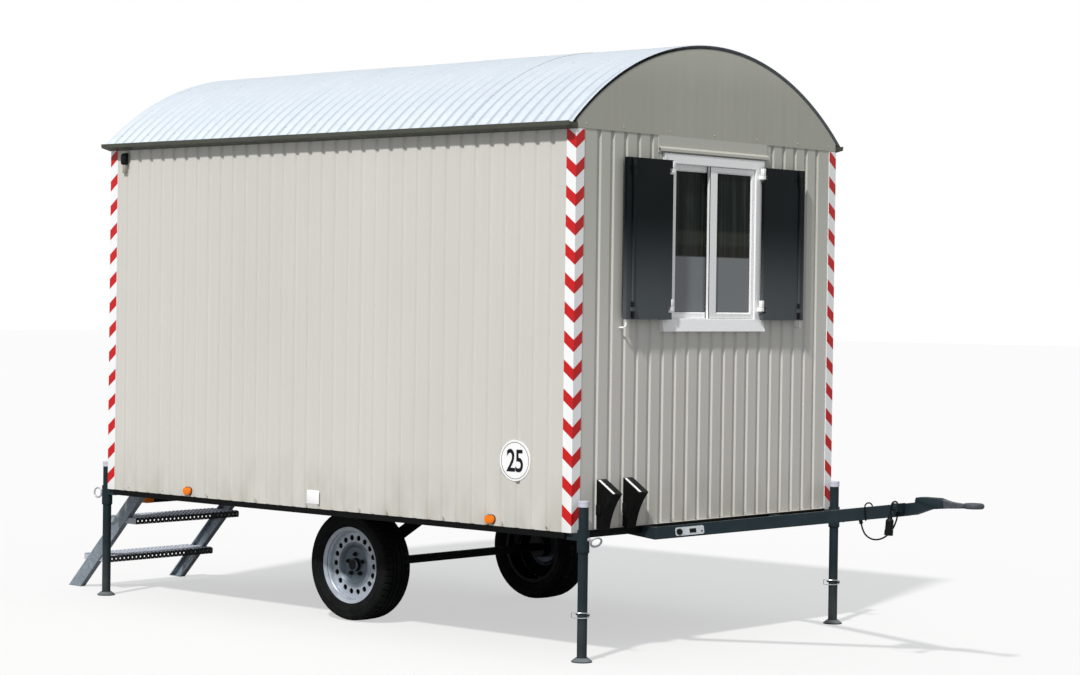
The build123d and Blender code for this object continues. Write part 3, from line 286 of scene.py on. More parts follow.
def coated_sheet(name, colour, shade, rough=0.42, waves=0.0012):
    """Paint on rolled sheet: faint streaks, orange peel and a slightly uneven face."""
    paint = Finish(name, colour, rough, specular=0.3)
    paint.patches(shade, 0.5, 1.3, 0.35, 0.7, (1, 1, 0.35))
    paint.patches(shade, 0.35, 42.0, 0.4, 0.75, (1, 1, 0.015))
    paint.gloss(7.0, rough - 0.08, rough + 0.1)
    paint.grain(2.6, waves, detail=2.0, stretch=(1, 1, 0.5))
    return paint.grain(420.0, 0.00012, 0.6)


def wall_paint():
    """Pale wall sheet, with painted shade that greys the front wall towards its top, and dusty at its foot.
    """
    paint = coated_sheet("wall_paint", srgb(216, 214, 208), srgb(205, 203, 197))
    # Painted shade: the front wall is mixed greyer towards the eaves.
    on_front = paint.levels(paint.axis("X"), FRONT - 0.012, FRONT - 0.010)
    rising = paint.levels(paint.axis("Z"), BASE + 0.75, EAVES, 0.0, 0.9, True)
    paint.mix(paint.maths("MULTIPLY", on_front, rising), srgb(192, 192, 183))
    return paint.dust(BASE, BASE + 0.30, 0.35)


def gable_paint():
    """Darker gable boards, with painted light that makes them lighter towards the ridge."""
    paint = coated_sheet("gable_paint", srgb(181, 181, 170), srgb(168, 168, 158), 0.34, 0.006)
    # Painted light: the boards are mixed lighter towards the ridge.
    rising = paint.levels(paint.axis("Z"), EAVES + 0.20, ROOF_HIGH.z, 0.0, 0.8, True)
    return paint.mix(rising, srgb(196, 196, 185))


def zinc_coat(name, colour, shade, rough, metallic, grain):
    """Hot-dip zinc: crystals of uneven grey, dull streaks and a slight roughness."""
    zinc = Finish(name, colour, rough, metallic)
    zinc.crystals(shade, 0.55, grain)
    zinc.patches(shade, 0.5, 14.0, 0.45, 0.75, (1, 1, 0.3), 6.0)
    zinc.gloss(60.0, rough - 0.1, rough + 0.14)
    return zinc.grain(260.0, 0.0003, 0.5, 2.0)


def roof_metal():
    """Bluish galvanised sheet, with painted shade that greys its valleys, and dull runs down the slope."""
    metal = Finish("roof_metal", srgb(213, 221, 229), 0.45, 0.20, 0.4)
    metal.crystals(srgb(200, 210, 221), 0.25, 70.0)
    metal.patches(srgb(197, 207, 218), 0.35, 9.0, 0.45, 0.8, (1, 0.2, 0.2))
    # Painted shade: the corrugation's valleys are mixed greyer.
    wave = metal.wave(metal.axis("X"), WAVE_PITCH, MIDDLE)
    metal.mix(metal.levels(wave, -1.0, -0.45, 0.62, 0.0, True), srgb(150, 163, 177))
    metal.gloss(20.0, 0.38, 0.52)
    return metal.grain(300.0, 0.0001, 0.4)


def slate_paint(name, colour, wear, rough=0.38):
    """Paint on welded steel: soft runs, dulled edges and dust low down."""
    paint = Finish(name, colour, rough, specular=0.16)
    paint.patches(wear, 0.6, 11.0, 0.45, 0.8, detail=6.0)
    paint.gloss(24.0, rough - 0.08, rough + 0.16)
    paint.grain(180.0, 0.0002, 0.5, 2.0)
    return paint.dust(0.0, 0.30, 0.35, srgb(120, 118, 112))


def shutter_paint():
    """Anthracite sheet, paler towards its foot with a painted reflection."""
    low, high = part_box("shutter_left")
    paint = Finish("shutter_paint", srgb(4, 13, 15), 0.36, specular=0.12)
    # Painted reflection: the sheet is mixed paler towards its foot.
    painted_reflection_fade = paint.levels(paint.axis("Z"), low.z, low.z + (high.z - low.z) * 0.68, 1.0, 0.0, True)
    paint.mix(painted_reflection_fade, srgb(84, 90, 94))
    paint.patches(srgb(34, 43, 46), 0.2, 4.0, 0.4, 0.75, (1, 1, 0.3))
    paint.gloss(10.0, 0.30, 0.42)
    return paint.grain(300.0, 0.0001, 0.5)


def film(name, colour, specular, cloud, cell, amount):
    """Retroreflective film with its fine honeycomb."""
    sheet = Finish(name, colour, 0.30, specular=specular)
    sheet.patches(cloud, amount, 6.0, 0.4, 0.8)
    sheet.crystals(cell, amount - 0.25, 260.0, 0.2)
    return sheet.gloss(15.0, 0.16, 0.30)


def moulded(name, colour, shade, rough, grain=0.00008, specular=0.4):
    """Moulded plastic or rubber: fine grain and uneven wear."""
    plastic = Finish(name, colour, rough, specular=specular)
    plastic.patches(shade, 0.7, 9.0, 0.4, 0.78, detail=5.0)
    plastic.gloss(35.0, rough - 0.06, rough + 0.12)
    return plastic.grain(900.0, grain, 0.5)


def pane():
    """Dark tinted glass with painted reflections: two faint bands, and dull grey over its lower part."""
    edge = GLASS_LOW + (GLASS_HIGH - GLASS_LOW) * 0.396
    glass = Finish("pane", srgb(20, 29, 23), 0.05, specular=0.08)
    height = glass.axis("Z")
    # Painted reflections: bands and a grey lower part mixed in by height.
    glass.mix(glass.levels(height, edge + 0.140, edge + 0.120, 0.0, 0.7), srgb(58, 59, 52))
    glass.mix(glass.levels(height, edge + 0.070, edge + 0.050, 0.0, 0.8), srgb(36, 34, 28))
    glass.mix(glass.levels(height, edge + 0.004, edge - 0.004), srgb(131, 135, 137))
    glass.patches(srgb(128, 134, 134), 0.16, 30.0, 0.45, 0.8, (1, 1, 0.05))
    return glass.grain(3.0, 0.0006)


def board(name, colour, shade):
    """Sheet of board with a long grain."""
    wood = Finish(name, colour, 0.6)
    wood.mix(wood.levels(wood.noise(16.0, (0.12, 1.6, 1), 8.0, 1.5), 0.3, 0.7), shade)
    return wood.grain(90.0, 0.0004, detail=4.0, stretch=(0.1, 2, 1))


def tyre_rubber():
    """Black rubber, greyed on its sidewalls."""
    rubber = Finish("tyre_rubber", srgb(15, 16, 17), 0.66, specular=0.10)
    rubber.patches(srgb(32, 33, 33), 0.6, 14.0, 0.42, 0.75, detail=6.0)
    rubber.gloss(30.0, 0.5, 0.75)
    rubber.grain(500.0, 0.0002, 0.6, 2.0)
    return rubber.dust(0.0, 0.06, 0.25, srgb(90, 85, 77))


def rim_paint():
    """Silver wheel paint, with painted shade that darkens its dish and its inner side."""
    paint = Finish("rim_paint", srgb(190, 198, 208), 0.30, 0.45, 0.4)
    paint.patches(srgb(146, 154, 165), 0.5, 18.0, 0.4, 0.75, detail=6.0)
    # Painted shade: the dish is mixed darker.
    dish = paint.levels(paint.reach(WHEEL.x, WHEEL.z), 0.100, 0.122, 0.85, 0.0, True)
    paint.mix(dish, srgb(72, 88, 100))
    # Painted shade: the inner side of the rim is mixed near black.
    across = paint.maths("ABSOLUTE", paint.axis("Y"))
    paint.mix(paint.levels(across, WHEEL.y + 0.022, WHEEL.y + 0.020), srgb(20, 22, 24))
    paint.gloss(40.0, 0.28, 0.48)
    return paint.grain(500.0, 0.0001, 0.5)


def lamp_plastic(name, colour, shade):
    """Clear coloured lens with fine moulded ribs."""
    lens = Finish(name, colour, 0.16, specular=0.35)
    lens.patches(shade, 0.5, 50.0, 0.3, 0.7)
    return lens.bump(lens.cells(300.0), 0.0006, 0.6)


WHITE = srgb(255, 255, 255)
FINISHES = {
    "wall": wall_paint(),
    "gable": gable_paint(),
    "roof": roof_metal(),
    "galvanised": zinc_coat("galvanised", srgb(157, 168, 178), srgb(112, 122, 131), 0.42, 0.25, 75.0),
    # A lighter copy of the stair zinc for the tread tops: painted light.
    "tread": zinc_coat("tread_zinc_painted_light", srgb(200, 206, 216), srgb(174, 180, 191), 0.40, 0.10, 75.0),
    "alloy": zinc_coat("socket_alloy", srgb(199, 204, 209), srgb(184, 190, 196), 0.40, 0.20, 20.0),
    "edge": zinc_coat("shaded_zinc", srgb(52, 57, 58), srgb(36, 40, 41), 0.5, 0.2, 75.0),
    "zinc": zinc_coat("bright_zinc", srgb(214, 217, 221), srgb(184, 187, 192), 0.30, 0.55, 300.0),
    "forged": zinc_coat("forged_steel", srgb(94, 98, 107), srgb(64, 67, 74), 0.42, 0.45, 120.0),
    "frame": slate_paint("frame_paint", srgb(33, 45, 50), srgb(45, 56, 61)),
    # Lighter paint on each leg's foot ring: painted sheen.
    "sheen": slate_paint("sheen_paint", srgb(104, 112, 116), srgb(140, 146, 149)),
    # Near-black paint under the body: dark paint, darkened further as painted shade.
    "under": slate_paint("underbody_paint_and_shade", srgb(4, 6, 5), srgb(10, 12, 11), 0.6),
    "gutter": slate_paint("gutter_paint", srgb(86, 89, 80), srgb(72, 76, 68)),
    "shutter": shutter_paint(),
    "strip": film("strip_film", WHITE, 0.6, srgb(247, 249, 253), srgb(238, 240, 247), 0.5),
    "red": film("red_film", srgb(216, 28, 30), 0.35, srgb(196, 30, 34), srgb(178, 24, 28), 0.6),
    "window": moulded("window_plastic", WHITE, srgb(249, 250, 253), 0.28, 0.00003, 1.0),
    "pane": pane(),
    "lining": board("lining", srgb(205, 196, 178), srgb(190, 180, 162)),
    "floor": board("floor_board", srgb(104, 82, 58), srgb(78, 60, 42)),
    "tyre": tyre_rubber(),
    "rim": rim_paint(),
    "black": moulded("black_plastic", srgb(14, 16, 16), srgb(27, 29, 29), 0.40, specular=0.2),
    "rubber": moulded("black_rubber", srgb(12, 13, 12), srgb(24, 25, 24), 0.58, 0.0002, 0.12),
    # Lighter rubber on the chocks' top faces: painted sheen.
    "rubber_top": moulded("rubber_painted_sheen", srgb(33, 34, 33), srgb(44, 45, 44), 0.62, 0.0004, 0.15),
    "gasket": moulded("gasket_rubber", srgb(46, 50, 50), srgb(60, 62, 62), 0.55, specular=0.2),
    "orange": lamp_plastic("orange_lens", srgb(255, 138, 22), srgb(242, 104, 8)),
    "red_lens": lamp_plastic("red_lens", srgb(190, 26, 20), srgb(150, 14, 12)),
    "disc": moulded("disc_plastic", WHITE, srgb(250, 250, 252), 0.30),
    "ink": moulded("black_print", srgb(20, 22, 28), srgb(28, 30, 36), 0.45, specular=0.2),
    "cream": moulded("holder_plastic", srgb(238, 234, 214), srgb(226, 221, 200), 0.36),
    "cap": moulded("cap_plastic", srgb(204, 206, 219), srgb(188, 190, 206), 0.34),
    # Grey for the block under the inlet hood: painted shadow.
    "hood_shadow": moulded("hood_shadow_grey", srgb(160, 156, 146), srgb(144, 141, 132), 0.45, specular=0.3),
    # Near black for the ring behind the wheel holes: painted shade.
    "inside": moulded("painted_shade_black", srgb(12, 12, 13), srgb(18, 18, 19), 0.7, specular=0.1),
}
FINISHES["strip"].dust(BASE, BASE + 0.35, 0.3)

NODE_FINISHES = {
    "wall": ("right_wall", "left_wall", "front_wall", "rear_wall", "window_flashing", "rear_door"),
    "gable": ("front_gable_board", "rear_gable_board", "rear_door_frame"),
    "roof": ("roof_sheet",),
    "galvanised": ("stair_stringers", "stair_treads"),
    "zinc": ("leg_lock_pins",),
    "alloy": ("socket_plate",),
    "forged": ("tow_eye",),
    "frame": (
        "leg_brackets", "leg_front_left", "leg_rear_left", "leg_front_right", "leg_rear_right",
        "drawbar_arm_left", "drawbar_arm_right", "tow_beam", "cable_hook",
    ),
    # Parts under the body take the near-black paint that is partly painted shade.
    "under": ("side_rails", "end_rails", "main_beams", "cross_beams", "axle", "axle_struts"),
    "gutter": ("eave_gutters",),
    "shutter": ("shutter_left", "shutter_right"),
    "strip": ("corner_strips",),
    "window": ("window_frame", "window_sashes", "window_sill", "shutter_hinges"),
    "pane": ("window_glass",),
    "lining": ("ceiling_lining",),
    "floor": ("floor_panel",),
    "tyre": ("tyre_left", "tyre_right"),
    "rim": ("rim_left", "rim_right", "hub_left", "hub_right"),
    "black": ("rear_door_handle", "cable_gland", "trailer_plug", "tail_lamps", "power_inlet"),
    "rubber": ("trailer_cable", "wheel_chocks"),
    "orange": ("side_lamps",),
    "disc": ("speed_disc",),
    "cream": ("shutter_holders",),
}


def finish_nodes():
    """Give every carried-over node its finish."""
    for name, nodes in NODE_FINISHES.items():
        for node in nodes:
            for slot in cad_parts[node].material_slots:
                slot.material = FINISHES[name].material


HOOP_STEPS = 36


class Shape:
    """A mesh being built in the row's own places."""

    def __init__(self):
        self.mesh = bmesh.new()

    def add(self, points, faces):
        """Corners at points, and faces by their numbers."""
        corners = [self.mesh.verts.new(point) for point in points]
        for face in faces:
            self.mesh.faces.new([corners[index] for index in face])
        return corners

    def prism(self, outline, way):
        """A flat outline carried along a vector."""
        near = [Vector(point) for point in outline]
        far = [point + Vector(way) for point in near]
        count = len(near)
        sides = [(i, (i + 1) % count, (i + 1) % count + count, i + count) for i in range(count)]
        caps = [tuple(reversed(range(count))), tuple(range(count, 2 * count))]
        return self.add(near + far, sides + caps)

    def box(self, low, high, bevel=0.0):
        """Upright block between two corners."""
        (x0, y0, z0), (x1, y1, z1) = low, high
        outline = [(x0, y0, z0), (x1, y0, z0), (x1, y1, z0), (x0, y1, z0)]
        self.round_off(self.prism(outline, (0, 0, z1 - z0)), bevel)

    def round_off(self, corners, bevel):
        """Round the edges that meet at corners."""
        if bevel:
            edges = list({edge for corner in corners for edge in corner.link_edges})
            bmesh.ops.bevel(self.mesh, geom=edges, offset=bevel, segments=2, affect="EDGES", profile=0.5)

    def ring(self, middle, across, up, radius, sides):
        """Corners in a circle."""
        angles = [2 * math.pi * side / sides for side in range(sides)]
        places = [middle + (across * math.cos(a) + up * math.sin(a)) * radius for a in angles]
        return [self.mesh.verts.new(place) for place in places]

    def skin(self, rings, closed=False):
        """Faces from each ring of corners to the next; a ring may be a single corner."""
        for here, after in zip(rings, rings[1:] + rings[:1] if closed else rings[1:]):
            sides = max(len(here), len(after))
            for side in range(sides):
                turn = (side + 1) % sides
                face = [here[side % len(here)], here[turn % len(here)]]
                face += [after[turn % len(after)], after[side % len(after)]]
                face = list(dict.fromkeys(face))
                if len(face) > 2:
                    self.mesh.faces.new(face)

    def lathe(self, outline, start, way, sides=32, closed=False):
        """Radius and distance pairs turned about a line."""
        way = Vector(way).normalized()
        across = way.orthogonal().normalized()
        up = way.cross(across)
        rings = []
        for radius, along in outline:
            middle = Vector(start) + way * along
            rings.append(self.ring(middle, across, up, radius, sides if radius else 1))
        self.skin(rings, closed)

    def rod(self, start, end, radius, sides=24, chamfer=0.0015):
        """Round bar between two points, its ends chamfered."""
        way = Vector(end) - Vector(start)
        length = way.length
        outline = [(0, 0), (radius - chamfer, 0), (radius, chamfer)]
        outline += [(radius, length - chamfer), (radius - chamfer, length), (0, length)]
        self.lathe(outline, start, way, sides)

    def wire(self, points, radius, sides=8, closed=False):
        """Round wire along points."""
        points = [Vector(point) for point in points]
        count = len(points)
        across = None
        rings = []
        for index, point in enumerate(points):
            before = points[(index - 1) % count] if closed or index else point
            after = points[(index + 1) % count] if closed or index < count - 1 else point
            way = (after - before).normalized()
            if across is None:
                across = way.orthogonal()
            across = (across - way * across.dot(way)).normalized()
            rings.append(self.ring(point, across, way.cross(across), radius, sides))
        self.skin(rings, closed)
        if not closed:
            self.mesh.faces.new(list(reversed(rings[0])))
            self.mesh.faces.new(rings[-1])

    def hoop(self, centre, first, second, radius, sides=8):
        """Closed ring of wire whose half axes are two vectors."""
        angles = [2 * math.pi * step / HOOP_STEPS for step in range(HOOP_STEPS)]
        self.wire([centre + first * math.cos(a) + second * math.sin(a) for a in angles], radius, sides, True)

    def screw(self, place, way, radius=0.0032, height=0.0025):
        """Hexagon head on a washer."""
        place = Vector(place)
        way = Vector(way).normalized()
        washer = [(0, 0), (radius * 1.6, 0), (radius * 1.6, height * 0.3), (0, height * 0.3)]
        self.lathe(washer, place, way, 12)
        head = [(0, 0), (radius, 0), (radius, height), (radius * 0.7, height * 1.15), (0, height * 1.15)]
        self.lathe(head, place + way * height * 0.3, way, 6)

    def surround(self, x0, x1, outer, inner, bevel=0.0, chamfer=0.0):
        """Four mitred bars between two rectangles in Y and Z, with a sloped inner edge."""
        def corners(x, rectangle, grow):
            y0, z0, y1, z1 = rectangle
            left, foot, right, top = y0 - grow, z0 - grow, y1 + grow, z1 + grow
            return [(x, left, foot), (x, right, foot), (x, right, top), (x, left, top)]
        rows = [corners(x0, outer, 0), corners(x1 - chamfer, outer, 0), corners(x1, outer, -chamfer)]
        rows += [corners(x1, inner, bevel), corners(x1 - bevel, inner, 0), corners(x0, inner, 0)]
        self.skin([[self.mesh.verts.new(place) for place in row] for row in rows], closed=True)

    def piece(self, name, finish, body="cabin", slot=None, smooth=35):
        """Close the mesh as a piece that rides on a body."""
        bmesh.ops.recalc_face_normals(self.mesh, faces=self.mesh.faces[:])
        data = bpy.data.meshes.new(name)
        self.mesh.to_mesh(data)
        self.mesh.free()
        for polygon in data.polygons:
            polygon.use_smooth = True
        data.set_sharp_from_angle(angle=math.radians(smooth))
        data.materials.append(FINISHES[finish].material)
        piece = placed(name, data)
        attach(piece, body)
        return piece


def turned(outline, centre, way, sides, closed, *names):
    """A lathed piece of its own."""
    shape = Shape()
    shape.lathe(outline, centre, way, sides, closed)
    return shape.piece(*names)


def make_camera():
    """Camera at the photograph's viewing angle."""
    data = bpy.data.cameras.new("camera")
    data.sensor_fit = "HORIZONTAL"
    data.sensor_width = SENSOR
    data.lens = LENS
    data.clip_end = 500
    camera = placed("camera", data)
    turn = Matrix.Rotation(math.radians(CAMERA_AZIMUTH), 4, "Z")
    turn @= Matrix.Rotation(math.radians(90 - CAMERA_DOWN), 4, "X")
    turn @= Matrix.Rotation(math.radians(CAMERA_ROLL), 4, "Z")
    camera.matrix_world = Matrix.Translation(CAMERA_PLACE) @ turn
    bpy.context.scene.camera = camera


def make_cable():
    """The trailer cable on its hook, running to the plug at its end."""
    curve = bpy.data.curves.new("trailer_lead", "CURVE")
    curve.dimensions = "3D"
    curve.bevel_depth = CABLE_RADIUS
    curve.bevel_resolution = 4
    curve.use_fill_caps = True
    spline = curve.splines.new("NURBS")
    spline.points.add(len(CABLE_ROUTE) - 1)
    for point, place in zip(spline.points, CABLE_ROUTE):
        point.co = (*(TOW_POINT + Vector(place)), 1)
    spline.order_u = 3
    spline.use_endpoint_u = True
    spline.resolution_u = 12
    curve.materials.append(FINISHES["rubber"].material)
    lead = placed("trailer_lead", curve)
    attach(lead, "cabin")
    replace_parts(lead, "trailer_cable")


def make_light():
    """Soft sun from the photograph's side, and a pale sky."""
    data = bpy.data.lights.new("sun", "SUN")
    data.energy = SUN_STRENGTH
    data.angle = math.radians(SUN_SPREAD)
    data.color = SUN_COLOUR
    placed("sun", data).rotation_euler = Vector(SUN_FROM).to_track_quat("Z", "Y").to_euler()
    world = bpy.data.worlds.new("sky")
    world.use_nodes = True
    bpy.context.scene.world = world
    graph = Graph(world.node_tree)
    graph.nodes.clear()
    on_object, mirrored, seen = [
        graph.node("ShaderNodeBackground", 0, {"Color": colour, "Strength": strength})
        for colour, strength in SKIES
    ]
    lit = graph.blend(graph.rays("Is Glossy Ray"), on_object, mirrored)
    sky = graph.blend(graph.rays(*SEEN_RAYS), lit, seen)
    graph.links.new(sky, graph.nodes.new("ShaderNodeOutputWorld").inputs["Surface"])


def make_floor():
    """Pale floor that keeps the shadow."""
    material = bpy.data.materials.new("pale_floor")
    material.use_nodes = True
    graph = Graph(material.node_tree)
    graph.nodes.clear()
    under, pale = [
        graph.node("ShaderNodeBsdfDiffuse", 0, {"Color": (grey, grey, grey, 1)})
        for grey in (FLOOR_ALBEDO, FLOOR_SEEN_ALBEDO)
    ]
    seen = graph.blend(FLOOR_GLOW, pale, graph.node("ShaderNodeEmission", 0))
    shown = graph.blend(graph.rays(*SEEN_RAYS), under, seen)
    graph.links.new(shown, graph.nodes.new("ShaderNodeOutputMaterial").inputs["Surface"])
    half = FLOOR_HALF
    corners = [(-half, -half, 0), (half, -half, 0), (half, half, 0), (-half, half, 0)]
    data = bpy.data.meshes.new("floor")
    data.from_pydata(corners, [], [(0, 1, 2, 3)])
    data.materials.append(material)
    placed("floor", data)


def on_arch(x, angle, radius):
    """A place round the arch's centre line, angle measured from the ridge."""
    return Vector((x, radius * math.sin(angle), ROOF_CENTRE_Z + radius * math.cos(angle)))


def roof_point(x, angle, lift):
    """A place over the corrugated sheet's upper face."""
    wave = math.cos(2 * math.pi * (x - MIDDLE) / WAVE_PITCH)
    return on_arch(x, angle, ROOF_RADIUS - WAVE_DEPTH / 2 + WAVE_DEPTH / 2 * wave + lift)


def board_point(x, angle, lift):
    """A place over the board that the sheet lies on."""
    return on_arch(x, angle, ROOF_RADIUS - WAVE_DEPTH - 2.5 * SHEET + lift)


def roof_strip(shape, place, top, bottom, x0, x1, columns):
    """One curved sheet between two lifts over a surface."""
    angles = [ROOF_HALF_ANGLE * (2 * step / ARCH_STEPS - 1) for step in range(ARCH_STEPS + 1)]
    rings = []
    for column in range(columns + 1):
        x = x0 + (x1 - x0) * column / columns
        places = [place(x, angle, top) for angle in angles]
        places += [place(x, angle, bottom) for angle in reversed(angles)]
        rings.append([shape.mesh.verts.new(point) for point in places])
    shape.skin(rings)
    for ring in (rings[0], rings[-1]):
        for step in range(ARCH_STEPS):
            shape.mesh.faces.new([ring[step], ring[step + 1], ring[-2 - step], ring[-1 - step]])


def make_roof():
    """Lapped corrugated sheets over a thin board that follows the arch."""
    share = (ROOF_END - ROOF_START - SHEET_LAP) / SHEETS
    columns = round((share + SHEET_LAP) / WAVE_PITCH * WAVE_STEPS)
    shape = Shape()
    for index in range(SHEETS):
        x0 = ROOF_START + share * index
        lift = 0.0 if index % 2 else -1.5 * SHEET
        roof_strip(shape, roof_point, lift, lift - SHEET, x0, x0 + share + SHEET_LAP, columns)
    sheets = shape.piece("corrugated_roof", "roof", slot="roof_metal", smooth=50)
    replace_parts(sheets, "roof_sheet")
    shape = Shape()
    roof_strip(shape, board_point, 0.0, -0.001, ROOF_START + 0.004, ROOF_END - 0.0035, 1)
    shape.piece("roof_underlay", "gutter", slot="gutter_paint")


# Gutter's fold and its closed end: out from the wall and up from its foot
GUTTER_FOLD = (
    (0.0, -0.004), (0.062, 0.011), (0.065, 0.032), (0.062, 0.032),
    (0.059, 0.014), (0.003, 0.0), (0.003, 0.028), (0.0, 0.028),
)
GUTTER_END = ((0.0, -0.004), (0.062, 0.011), (0.064, 0.028), (0.0, 0.026))
GUTTER_CAP = 0.002


def make_gutters():
    """Folded gutters with a sloping bottom and closed ends."""
    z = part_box("eave_gutters")[0].z
    runs = ((GUTTER_FOLD, ROOF_START, ROOF_END - ROOF_START), (GUTTER_END, ROOF_START, GUTTER_CAP))
    runs += ((GUTTER_END, ROOF_END - GUTTER_CAP, GUTTER_CAP),)
    shape = Shape()
    for side in (-1, 1):
        for outline, x, run in runs:
            shape.prism([(x, side * (SIDE + out), z + up) for out, up in outline], (run, 0, 0))
    gutters = shape.piece("folded_gutters", "gutter", slot="gutter_paint")
    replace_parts(gutters, "eave_gutters")


# Rows of screws: round the arch, along a side wall, along each end's foot and across a gable
ROOF_SCREW_ANGLES = (-41.5, -21.0, 21.0, 41.5)
SIDE_SCREWS = (-1.57, -1.27, -0.90, -0.50, -0.10, 0.30, 0.50, 0.90, 1.30, 1.59)
FRONT_SCREWS = (-0.95, -0.65, -0.30, 0.0, 0.30, 0.65, 0.95)
REAR_SCREWS = (0.10, 0.30, 0.65, 0.95)
GABLE_RIVETS = (-1.00, -0.72, -0.36, 0.0, 0.36, 0.72, 1.00)


def roof_screws():
    """Screws through the crests near the eaves and over the rafters."""
    shape = Shape()
    count = int((ROOF_HIGH.x - MIDDLE) / WAVE_PITCH)
    for degrees in ROOF_SCREW_ANGLES:
        angle = math.radians(degrees)
        for wave in range(-count + 1, count, 3):
            place = roof_point(MIDDLE + wave * WAVE_PITCH, angle, -0.0032)
            shape.screw(place, (0, math.sin(angle), math.cos(angle)), 0.0035, 0.0022)
    shape.piece("roof_screws", "zinc", slot="galvanised")


def wall_screws():
    """Small screws along the foot of each wall, and rivets in the gable boards."""
    shape = Shape()
    z = BASE + 0.020
    for x in SIDE_SCREWS:
        for side in (-1, 1):
            shape.screw((MIDDLE + x, side * SIDE, z), (0, side, 0))
    for y in FRONT_SCREWS:
        shape.screw((FRONT, y, z + 0.004), (1, 0, 0))
    for y in REAR_SCREWS:
        shape.screw((REAR, y, z + 0.004), (-1, 0, 0))
    shape.piece("wall_screws", "zinc", slot="wall_paint")
    shape = Shape()
    rivet = [(0, 0), (0.005, 0), (0.004, 0.0014), (0, 0.002)]
    for face, way in ((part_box("front_gable_board")[1].x, 1), (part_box("rear_gable_board")[0].x, -1)):
        for y in GABLE_RIVETS:
            shape.lathe(rivet, (face, y, EAVES + 0.022), (way, 0, 0), 12)
    shape.piece("gable_rivets", "wall", slot="gable_paint")


def clipped(outline, low, high):
    """The part of a flat outline between two heights."""
    for limit, way in ((low, 1), (high, -1)):
        result = []
        for here, after in zip(outline, outline[1:] + outline[:1]):
            inside = here[1] * way >= limit * way
            if inside:
                result.append(here)
            if inside != (after[1] * way >= limit * way):
                share = (limit - here[1]) / (after[1] - here[1])
                result.append((here[0] + (after[0] - here[0]) * share, limit))
        outline = result
    return outline


def corner_stripes(shape, x_edge, y_edge, x_way, y_way, foot, top):
    """The stripes on both faces of one corner strip."""
    for index in range(STRIPE_COUNT):
        z = STRIPE_FIRST + index * STRIPE_PITCH
        outline = [(0, z), (STRIPE_WIDTH, z + STRIPE_RISE)]
        outline += [(STRIPE_WIDTH, z + STRIPE_RISE + STRIPE_HEIGHT), (0, z + STRIPE_HEIGHT)]
        outline = clipped(outline, foot, top)
        if len(outline) < 3:
            continue
        end = [(x_edge, y_edge - y_way * along, height) for along, height in outline]
        shape.prism(end, (x_way * STRIPE_FILM, 0, 0))
        side = [(x_edge - x_way * along, y_edge, height) for along, height in outline]
        shape.prism(side, (0, y_way * STRIPE_FILM, 0))


def hazard_stripes():
    """Red chevrons that point down at each corner's edge, and the sheet's edge beside them."""
    low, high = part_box("corner_strips")
    foot = low.z + 0.002
    top = high.z - 0.002
    shape = Shape()
    for x_edge, x_way in ((low.x, -1), (high.x, 1)):
        for y_edge, y_way in ((low.y, -1), (high.y, 1)):
            corner_stripes(shape, x_edge, y_edge, x_way, y_way, foot, top)
    shape.piece("hazard_stripes", "red", slot="strip_paint")
    edges = Shape()
    for x in (REAR + 0.0565, FRONT - 0.0665):
        for y in (-SIDE - 0.0004, SIDE - 0.004):
            edges.box((x, y, foot), (x + 0.010, y + 0.0044, top))
    edges.piece("sheet_edges", "wall", slot="wall_paint")


def sash(bars, gaskets, glass, low_y, high_y, left, right, face):
    """One sliding sash with its bevelled bars, gasket and pane."""
    edge = 0.0004
    outer = (low_y, OPENING[1] + edge, high_y, OPENING[3] - edge)
    clear = (low_y + left, GLASS_LOW, high_y - right, GLASS_HIGH)
    bars.surround(face - 0.020, face, outer, clear, 0.007, 0.0015)
    seal = (clear[0] + 0.002, clear[1] + 0.002, clear[2] - 0.002, clear[3] - 0.002)
    gaskets.surround(face - 0.012, face - 0.0075, clear, seal)
    glass.box((face - 0.013, clear[0], clear[1]), (face - 0.009, clear[2], clear[3]))


def window_details():
    """The sliding window as the photograph shows it: frame, sashes, panes and gaskets."""
    _, z0, y1, z1 = OPENING
    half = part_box("window_frame")[1].y
    border = (-half, WINDOW_LOW, half, WINDOW_HIGH)
    core = (-half + 0.010, WINDOW_LOW + 0.010, half - 0.010, WINDOW_HIGH - 0.010)
    frame_bars = Shape()
    frame_bars.surround(FRONT, FRONT + 0.015, border, OPENING, 0.003, 0.002)
    frame_bars.surround(INNER, FRONT, core, OPENING)
    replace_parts(frame_bars.piece("window_surround", "window", slot="window_plastic"), "window_frame")
    bars = Shape()
    gaskets = Shape()
    glass = Shape()
    for place in SASHES:
        sash(bars, gaskets, glass, *place)
    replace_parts(bars.piece("sliding_sashes", "window", slot="window_plastic"), "window_sashes")
    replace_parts(glass.piece("window_panes", "pane", slot="pane"), "window_glass")
    face = INNER + 0.0555
    line = 0.0012
    outer = (-0.033, z0 + 0.0002, y1 - 0.0002, z1 - 0.0002)
    gaskets.surround(face - 0.004, face, outer, (-0.031, z0 + line, y1 - line, z1 - line))
    gaskets.box((INNER + 0.0335, -0.0335, z0), (INNER + 0.0365, -0.0312, z1))
    gaskets.piece("window_gaskets", "gasket", slot="black_rubber")


# Sill and drip rail: out from the front wall and up from the sill's foot or the window's top
SILL = ((0, 0), (0.024, 0), (0.025, 0.002), (0.0155, 0.062), (0, 0.062))
DRIP_RAIL = (
    (0.002, 0.032), (0.011, 0.029), (0.0190, 0.021), (0.0195, 0.008),
    (0.0180, 0.007), (0.0172, 0.019), (0.010, 0.025), (0.002, 0.028),
)


